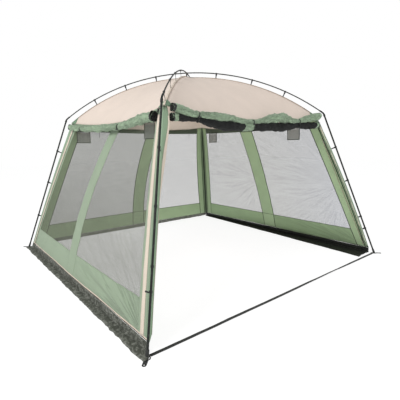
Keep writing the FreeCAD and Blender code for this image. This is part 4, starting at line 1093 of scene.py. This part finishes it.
# a roll's ends are bound in black this wide; its outer turn is this long, and then one more turn
# shows the cloth's own colour
BOUND, OUTER_TURN, SECOND_TURN = 0.024, 0.20, 0.14
NET_IN = 0.018
COVERS = {"front": (FRONT_COVER, 101.0, FRONT_TIES), "left": (LEFT_COVER, 107.0, (-.77, .24, 1.5)),
          "right": (plain_cover(113.0), 113.0, PLAIN_TIES), "back": (plain_cover(127.0), 127.0, PLAIN_TIES)}


def in_second_turn(v):
    return 0 < v - OUTER_TURN < SECOND_TURN


for wall, (stations, seed, ties) in COVERS.items():
    limits = stations[0][0] + BOUND, stations[-1][0] - BOUND
    rolled("cover_" + wall, wall, stations, seed, 9, 0.12, 0.0, [COVER, BLACK_BINDING],
           lambda u, v: 0 if limits[0] < u < limits[1] or in_second_turn(v) else 1,
           "cover_roll_" + wall, "cover_green", ties)


def net_slots(u, v):
    """The netting is bound at its ends, and its green edge shows there and beside the middle tie."""
    if not -1.067 < u < 1.082:
        return 2 if in_second_turn(v) else 1
    if not -1.030 < u < 1.046 or -0.16 < u < -0.02:
        return 2
    return 0


rolled("door_netting_rolled", "front", FRONT_NET, 131.0, 8, 0.14, NET_IN, [NET_ROLLED, BLACK_BINDING, COVER],
       net_slots, "mesh_roll_front", "mesh_rolled", FRONT_TIES, from_eave=False, lumpy=1.3)


def roll_ties():
    """Cord loops drawn tight round the rolls, each with a moulded toggle on its outer side."""
    cords, toggles = Cloth(), Cloth()
    cord_radius, toggle_radius, toggle_long, lie = 0.0022, 0.0058, 0.034, math.radians(-35)
    rows = [(wall, tie, stations, 0.0) for wall, (stations, _, ties) in COVERS.items()
            for tie in ties if tie < 1.2]
    rows += [("front", tie + 0.014, FRONT_NET, NET_IN) for tie in FRONT_TIES]
    for number, (wall, tie, stations, inwards) in enumerate(rows):
        height, radius = along_stations(stations, tie)
        out = roll_middle(tie, inwards)
        ring = radius + 0.0045

        for strand in (-0.004, 0.004):
            def loop(u, v):
                around, turn = u / ring, v / cord_radius
                wobble = 0.002 * wave(around, number, strand * 100)
                r = ring + wobble + cord_radius * math.cos(turn)
                shift = strand + cord_radius * math.sin(turn) + 0.004 * math.sin(around + number)
                return TURN[wall] @ Vector((tie + shift, -(out + r * math.cos(around)),
                                            height + 0.95 * r * math.sin(around)))

            cords.grid(steps(0.0, 2 * math.pi * ring, 0.009),
                       steps(0.0, 2 * math.pi * cord_radius, 0.0023), loop)
        if inwards:
            continue

        def toggle(u, v):
            t = u / toggle_long
            waist = 1 - 0.25 * math.exp(-((t - 0.5) / 0.12) ** 2)
            r = toggle_radius * math.sqrt(max(0.0, 1 - (2 * abs(t - 0.5)) ** 6)) * waist
            around = v / toggle_radius
            centre = ring + 0.0085
            return TURN[wall] @ Vector((tie + u - toggle_long / 2,
                                        -(out + centre * math.cos(lie) + r * math.cos(around)),
                                        height + centre * math.sin(lie) + r * math.sin(around)))

        toggles.grid(steps(0.0, toggle_long, 0.0017),
                     steps(0.0, 2 * math.pi * toggle_radius, 0.0031), toggle)
    cords.build("roll_tie_cords", [CORD], thick=0.0, slot="tie_cord", replaces=["roll_ties"])
    toggles.build("roll_tie_toggles", [PLASTIC], thick=0.0, slot="plastic_black")


roll_ties()

# ---------------------------------------------------------------- door zips


ZIP_MIDDLE, ZIP_BACK, ZIP_LONG, TAPE_WIDE = 0.035, 0.040, 1.385, 0.017
TEETH, TOOTH_PITCH, TOOTH_WIDE, TOOTH_HALF, TOOTH_PROUD = 460, 0.003, 0.0048, 0.0010, 0.0017


def zip_point(side, across, v, rise):
    """A point on a zip: across its tape, up it, and out of the door."""
    z = DOOR_LOW + v
    reach = corner_half(z)
    return Vector((side * (reach - ZIP_MIDDLE - across), ZIP_BACK - reach - rise, z))


def zips():
    tapes, teeth = Cloth(), Cloth()
    for side in (-1, 1):
        def tape(u, v):
            return zip_point(side, u - TAPE_WIDE / 2, v, 0.0002 + 0.0006 * wave(v * 9, side, 2.0))

        tapes.grid(steps(0.0, TAPE_WIDE, 0.0028), steps(0.0, ZIP_LONG, 0.02), tape, flip=side > 0)
        for i in range(TEETH):
            low = TOOTH_PITCH * i

            def tooth(u, v):
                crest = 1 if abs(v - low - TOOTH_HALF) < TOOTH_HALF / 2 else 0.4
                rise = 0.0006 + TOOTH_PROUD * math.sin(math.pi * u / TOOTH_WIDE) * crest
                return zip_point(side, u - TOOTH_WIDE / 2, v, rise)

            teeth.grid([0.0, TOOTH_WIDE / 2, TOOTH_WIDE], [low, low + TOOTH_HALF, low + 2 * TOOTH_HALF],
                       tooth, flip=side > 0)
    tapes.build("zip_tape_cloth", [ZIP], slot="zip_beige", replaces=["zip_tapes"], held="hung")
    teeth.build("zip_teeth_run", [ZIP_TEETH], thick=0.0, slot="zip_beige")


zips()

# ---------------------------------------------------------------- webbing read from the frame


def islands(name):
    """The separate solids of a node, each as its centre and its axes from the longest to the shortest."""
    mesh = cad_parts[name].data
    parent = list(range(len(mesh.vertices)))

    def root(i):
        while parent[i] != i:
            parent[i] = parent[parent[i]]
            i = parent[i]
        return i

    spots = {}
    for vertex in mesh.vertices:
        key = tuple(round(c, 5) for c in vertex.co)
        if key in spots:
            parent[root(vertex.index)] = root(spots[key])
        else:
            spots[key] = vertex.index
    for polygon in mesh.polygons:
        corners = list(polygon.vertices)
        for other in corners[1:]:
            parent[root(other)] = root(corners[0])
    groups = {}
    for vertex in mesh.vertices:
        groups.setdefault(root(vertex.index), []).append(vertex.co)
    result = []
    for group in groups.values():
        cloud = np.array([tuple(c) for c in group])
        unique = np.unique(np.round(cloud, 5), axis=0)
        centre = unique.mean(0)
        values, vectors = np.linalg.eigh(np.cov((unique - centre).T))
        order = np.argsort(values)[::-1]
        sizes = [float(np.ptp((unique - centre) @ vectors[:, k])) for k in order]
        result.append((Vector(centre), [Vector(vectors[:, k]) for k in order], sizes))
    return sorted(result, key=lambda item: tuple(round(c, 4) for c in item[0]))


def clip_webbing():
    """A doubled tape from each clip to the cloth, turned under in a sewn foot."""
    cloth = Cloth()
    wide, roof_from = 0.016, 1.80
    for number, (centre, directions, sizes) in enumerate(islands("clip_straps")):
        thin = directions[2]
        axes = directions[:2]
        roofward = centre.z > roof_from
        pull = Vector((0, 0, 1)) if roofward else Vector((centre.x, centre.y, 0)).normalized()
        long = max(axes, key=lambda d: abs(d.dot(pull)))
        across = axes[0] if long is axes[1] else axes[1]
        length = float(sizes[axes.index(long)])
        if long.dot(pull) < 0:
            long = -long
        foot = length / 2 + (0.006 if roofward else 0.004)

        def point(u, v):
            arch = math.sin(math.pi * v / length)
            bow = 0.0022 * arch * (-1) ** number
            return centre + across * (u - wide / 2) * (1 - 0.25 * arch) + long * (v - foot) + thin * bow

        cloth.grid(steps(0.0, wide, 0.004), steps(0.0, length + (foot - length / 2), 0.005), point)
    cloth.build("clip_webbing", [WEBBING], thick=0.0022, slot="webbing_black", replaces=["clip_straps"],
                held="hung")


clip_webbing()


def leg_toggle():
    """The toggle of the lowest clip on leg n, lying across the leg towards the left wall."""
    z, radius, length = 0.396, 0.0062, 0.040
    leg = ELBOW + (FOOT_HALF - ELBOW) * (1 - z / ELBOW_Z)
    start = Vector((-leg - 0.011, -leg + 0.004, z))
    along = Vector((-0.25, 0.97, 0.05)).normalized()
    across = along.cross(Vector((0, 0, 1))).normalized()
    up_bar = across.cross(along)

    def point(u, v):
        t = u / length
        r = radius * math.sqrt(max(0.0, 1 - abs(2 * t - 1) ** 6)) * (1 + 0.25 * ease(t, 0.6, 0.8))
        turn = v / radius
        return start + along * u + across * (r * math.cos(turn)) + up_bar * (r * math.sin(turn))

    bar = Cloth()
    bar.grid(steps(0.0, length, 0.002), steps(0.0, 2 * math.pi * radius, 0.0026), point)
    bar.build("leg_toggle_n", [PLASTIC], thick=0.0, body="leg_n", slot="plastic_black")


leg_toggle()

# ---------------------------------------------------------------- webbing on the floor


def ground_strap():
    """Strap along the door's threshold from foot to foot, tilting and wandering a little."""
    half, wide, out = 1.672, 0.030, 1.692

    def point(u, v):
        tilt = math.radians(17) * math.exp(-((u - 0.62) / 0.42) ** 2)
        tilt += math.radians(3) * wave(u * 3, 1.0, 151.0)
        across = v - wide / 2
        wander = 0.004 * wave(u * 1.3, 2.0, 153.0)
        lift = 0.0032 + abs(math.sin(tilt)) * wide / 2 + 0.0015 * (1 + wave(u * 4, 3.0, 155.0))
        return Vector((u, -out + wander + across * math.cos(tilt), lift - across * math.sin(tilt)))

    cloth = Cloth()
    cloth.grid(steps(-half, half, 0.02), steps(0.0, wide, 0.005), point)
    cloth.build("ground_webbing", [WEBBING], thick=0.0016, slot="webbing_black", replaces=["ground_strap"],
                held="stretched")


ground_strap()


def peg_tabs():
    """Webbing tabs round the feet, each with a tongue out to its peg eyelet."""
    cloth = Cloth()
    ring, ring_in, ring_out = 0.022, 0.018, 0.027
    eyelet, hole_radius, half_wide, tongue_end, tongue_long = 0.073, 0.0078, 0.016, 0.0161, 0.067
    for side_x, side_y in CORNERS.values():
        outwards = Vector((side_x, side_y, 0)).normalized()
        across = Vector((-outwards.y, outwards.x, 0))
        foot = Vector((side_x * FOOT_HALF, side_y * FOOT_HALF, 0))

        def place(x, y, z):
            return foot + outwards * x + across * y + Vector((0, 0, z))

        def collar(u, v):
            return place(v * math.cos(u / ring), v * math.sin(u / ring), 0.0026 + 0.0004 * math.sin(u * 200))

        def tongue(u, v):
            x = ring + u
            hole = math.sqrt(max(0.0, hole_radius ** 2 - abs(x - eyelet) ** 2))
            end = math.sqrt(max(0.0, 1 - max(0.0, (x - eyelet) / tongue_end) ** 2))
            outer = max(hole + 0.0005, half_wide * end)
            y = math.copysign(hole + (outer - hole) * abs(v) / half_wide, v)
            return place(x, y, 0.0024 + 0.0006 * math.sin(u * 90))

        cloth.grid(steps(0.0, 2 * math.pi * ring, 0.006), steps(ring_in, ring_out, 0.003), collar, flip=True)
        for low, high in ((-half_wide, -0.00001), (0.00001, half_wide)):
            cloth.grid(steps(0.0, tongue_long, 0.0025), steps(low, high, 0.003), tongue)
        cloth.grid(steps(0.0, 0.022, 0.004), steps(-half_wide, half_wide, 0.004),
                   lambda u, v: place(-ring_in - u, v, 0.0024))
    cloth.build("peg_webbing", [WEBBING], thick=0.0018, slot="webbing_black", replaces=["peg_tabs"],
                held="laid")


peg_tabs()

# ---------------------------------------------------------------- pockets

POCKETS = {"pocket_right_front": ("right", -0.840), "pocket_right_back": ("right", 0.750),
           "pocket_left": ("left", 0.750), "pocket_back": ("back", 1.005)}


def pocket(name, wall, along):
    """A netting pouch with a bound edge, hanging by its two upper corners."""
    top, high, wide, rim = 1.650, 0.170, 0.190, 0.009
    side, low = wide / 2, top - high
    out = wall_out(wall, along, top) - 0.025
    seed = 161.0 + 3 * len(name) + along

    def place(x, z, lift):
        pull = ease(z, top - 0.05, top)
        sway = 0.006 * wave(x * 9, z * 9, seed) * (1 - pull)
        sag = -0.010 * (1 - (2 * x / wide) ** 2) * pull
        return TURN[wall] @ Vector((along + x, -out + 0.0015 - lift - sway, z + sag))

    def pouch(u, v):
        fullness = math.cos(math.pi * u / wide) * math.sin(math.pi * min(1.0, (v - top + high) / 0.14))
        return place(u, v, -0.007 * fullness - 0.0012)

    cloth = Cloth()
    us = steps(-side, side, rim)
    cloth.grid(us, steps(low, top, rim), lambda u, v: place(u, v, 0.0))
    cloth.grid(us, steps(low, top - 0.035, rim), pouch)
    count = len(cloth.faces)
    for low_u, high_u, low_v, high_v in ((-side, side, top - rim, top), (-side, side, low, low + rim),
                                         (-side, -side + rim, low, top), (side - rim, side, low, top)):
        for lift in (0.0014, -0.0030):
            cloth.grid(steps(low_u, high_u, rim), steps(low_v, high_v, rim), lambda u, v: place(u, v, lift))
    cloth.slots = [0] * count + [1] * (len(cloth.faces) - count)
    cloth.build(name + "_net", [NET_POCKET, TAPE_AND_FOLD_SHADE], thick=0.0, body=name, slot="mesh_grey", replaces=[name],
                held="hung", length=wide * 2)


for name, (wall, along) in POCKETS.items():
    pocket(name, wall, along)

# ---------------------------------------------------------------- finishes of the carried-over parts

DRESS = {POLE: ["roof_arch_upper", "roof_arch_lower", "peg_eyelets"],
         STEEL: ["arch_inserts", "zip_slider_n", "zip_slider_r", "zip_pull_n", "zip_pull_r"],
         LEG: ["leg_" + c for c in CORNERS] + ["elbow_" + c for c in CORNERS],
         PLASTIC: ["roof_clips", "leg_clips"] + ["foot_cap_" + c for c in CORNERS]}
for material, names in DRESS.items():
    for name in names:
        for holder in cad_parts[name].material_slots:
            holder.material = material
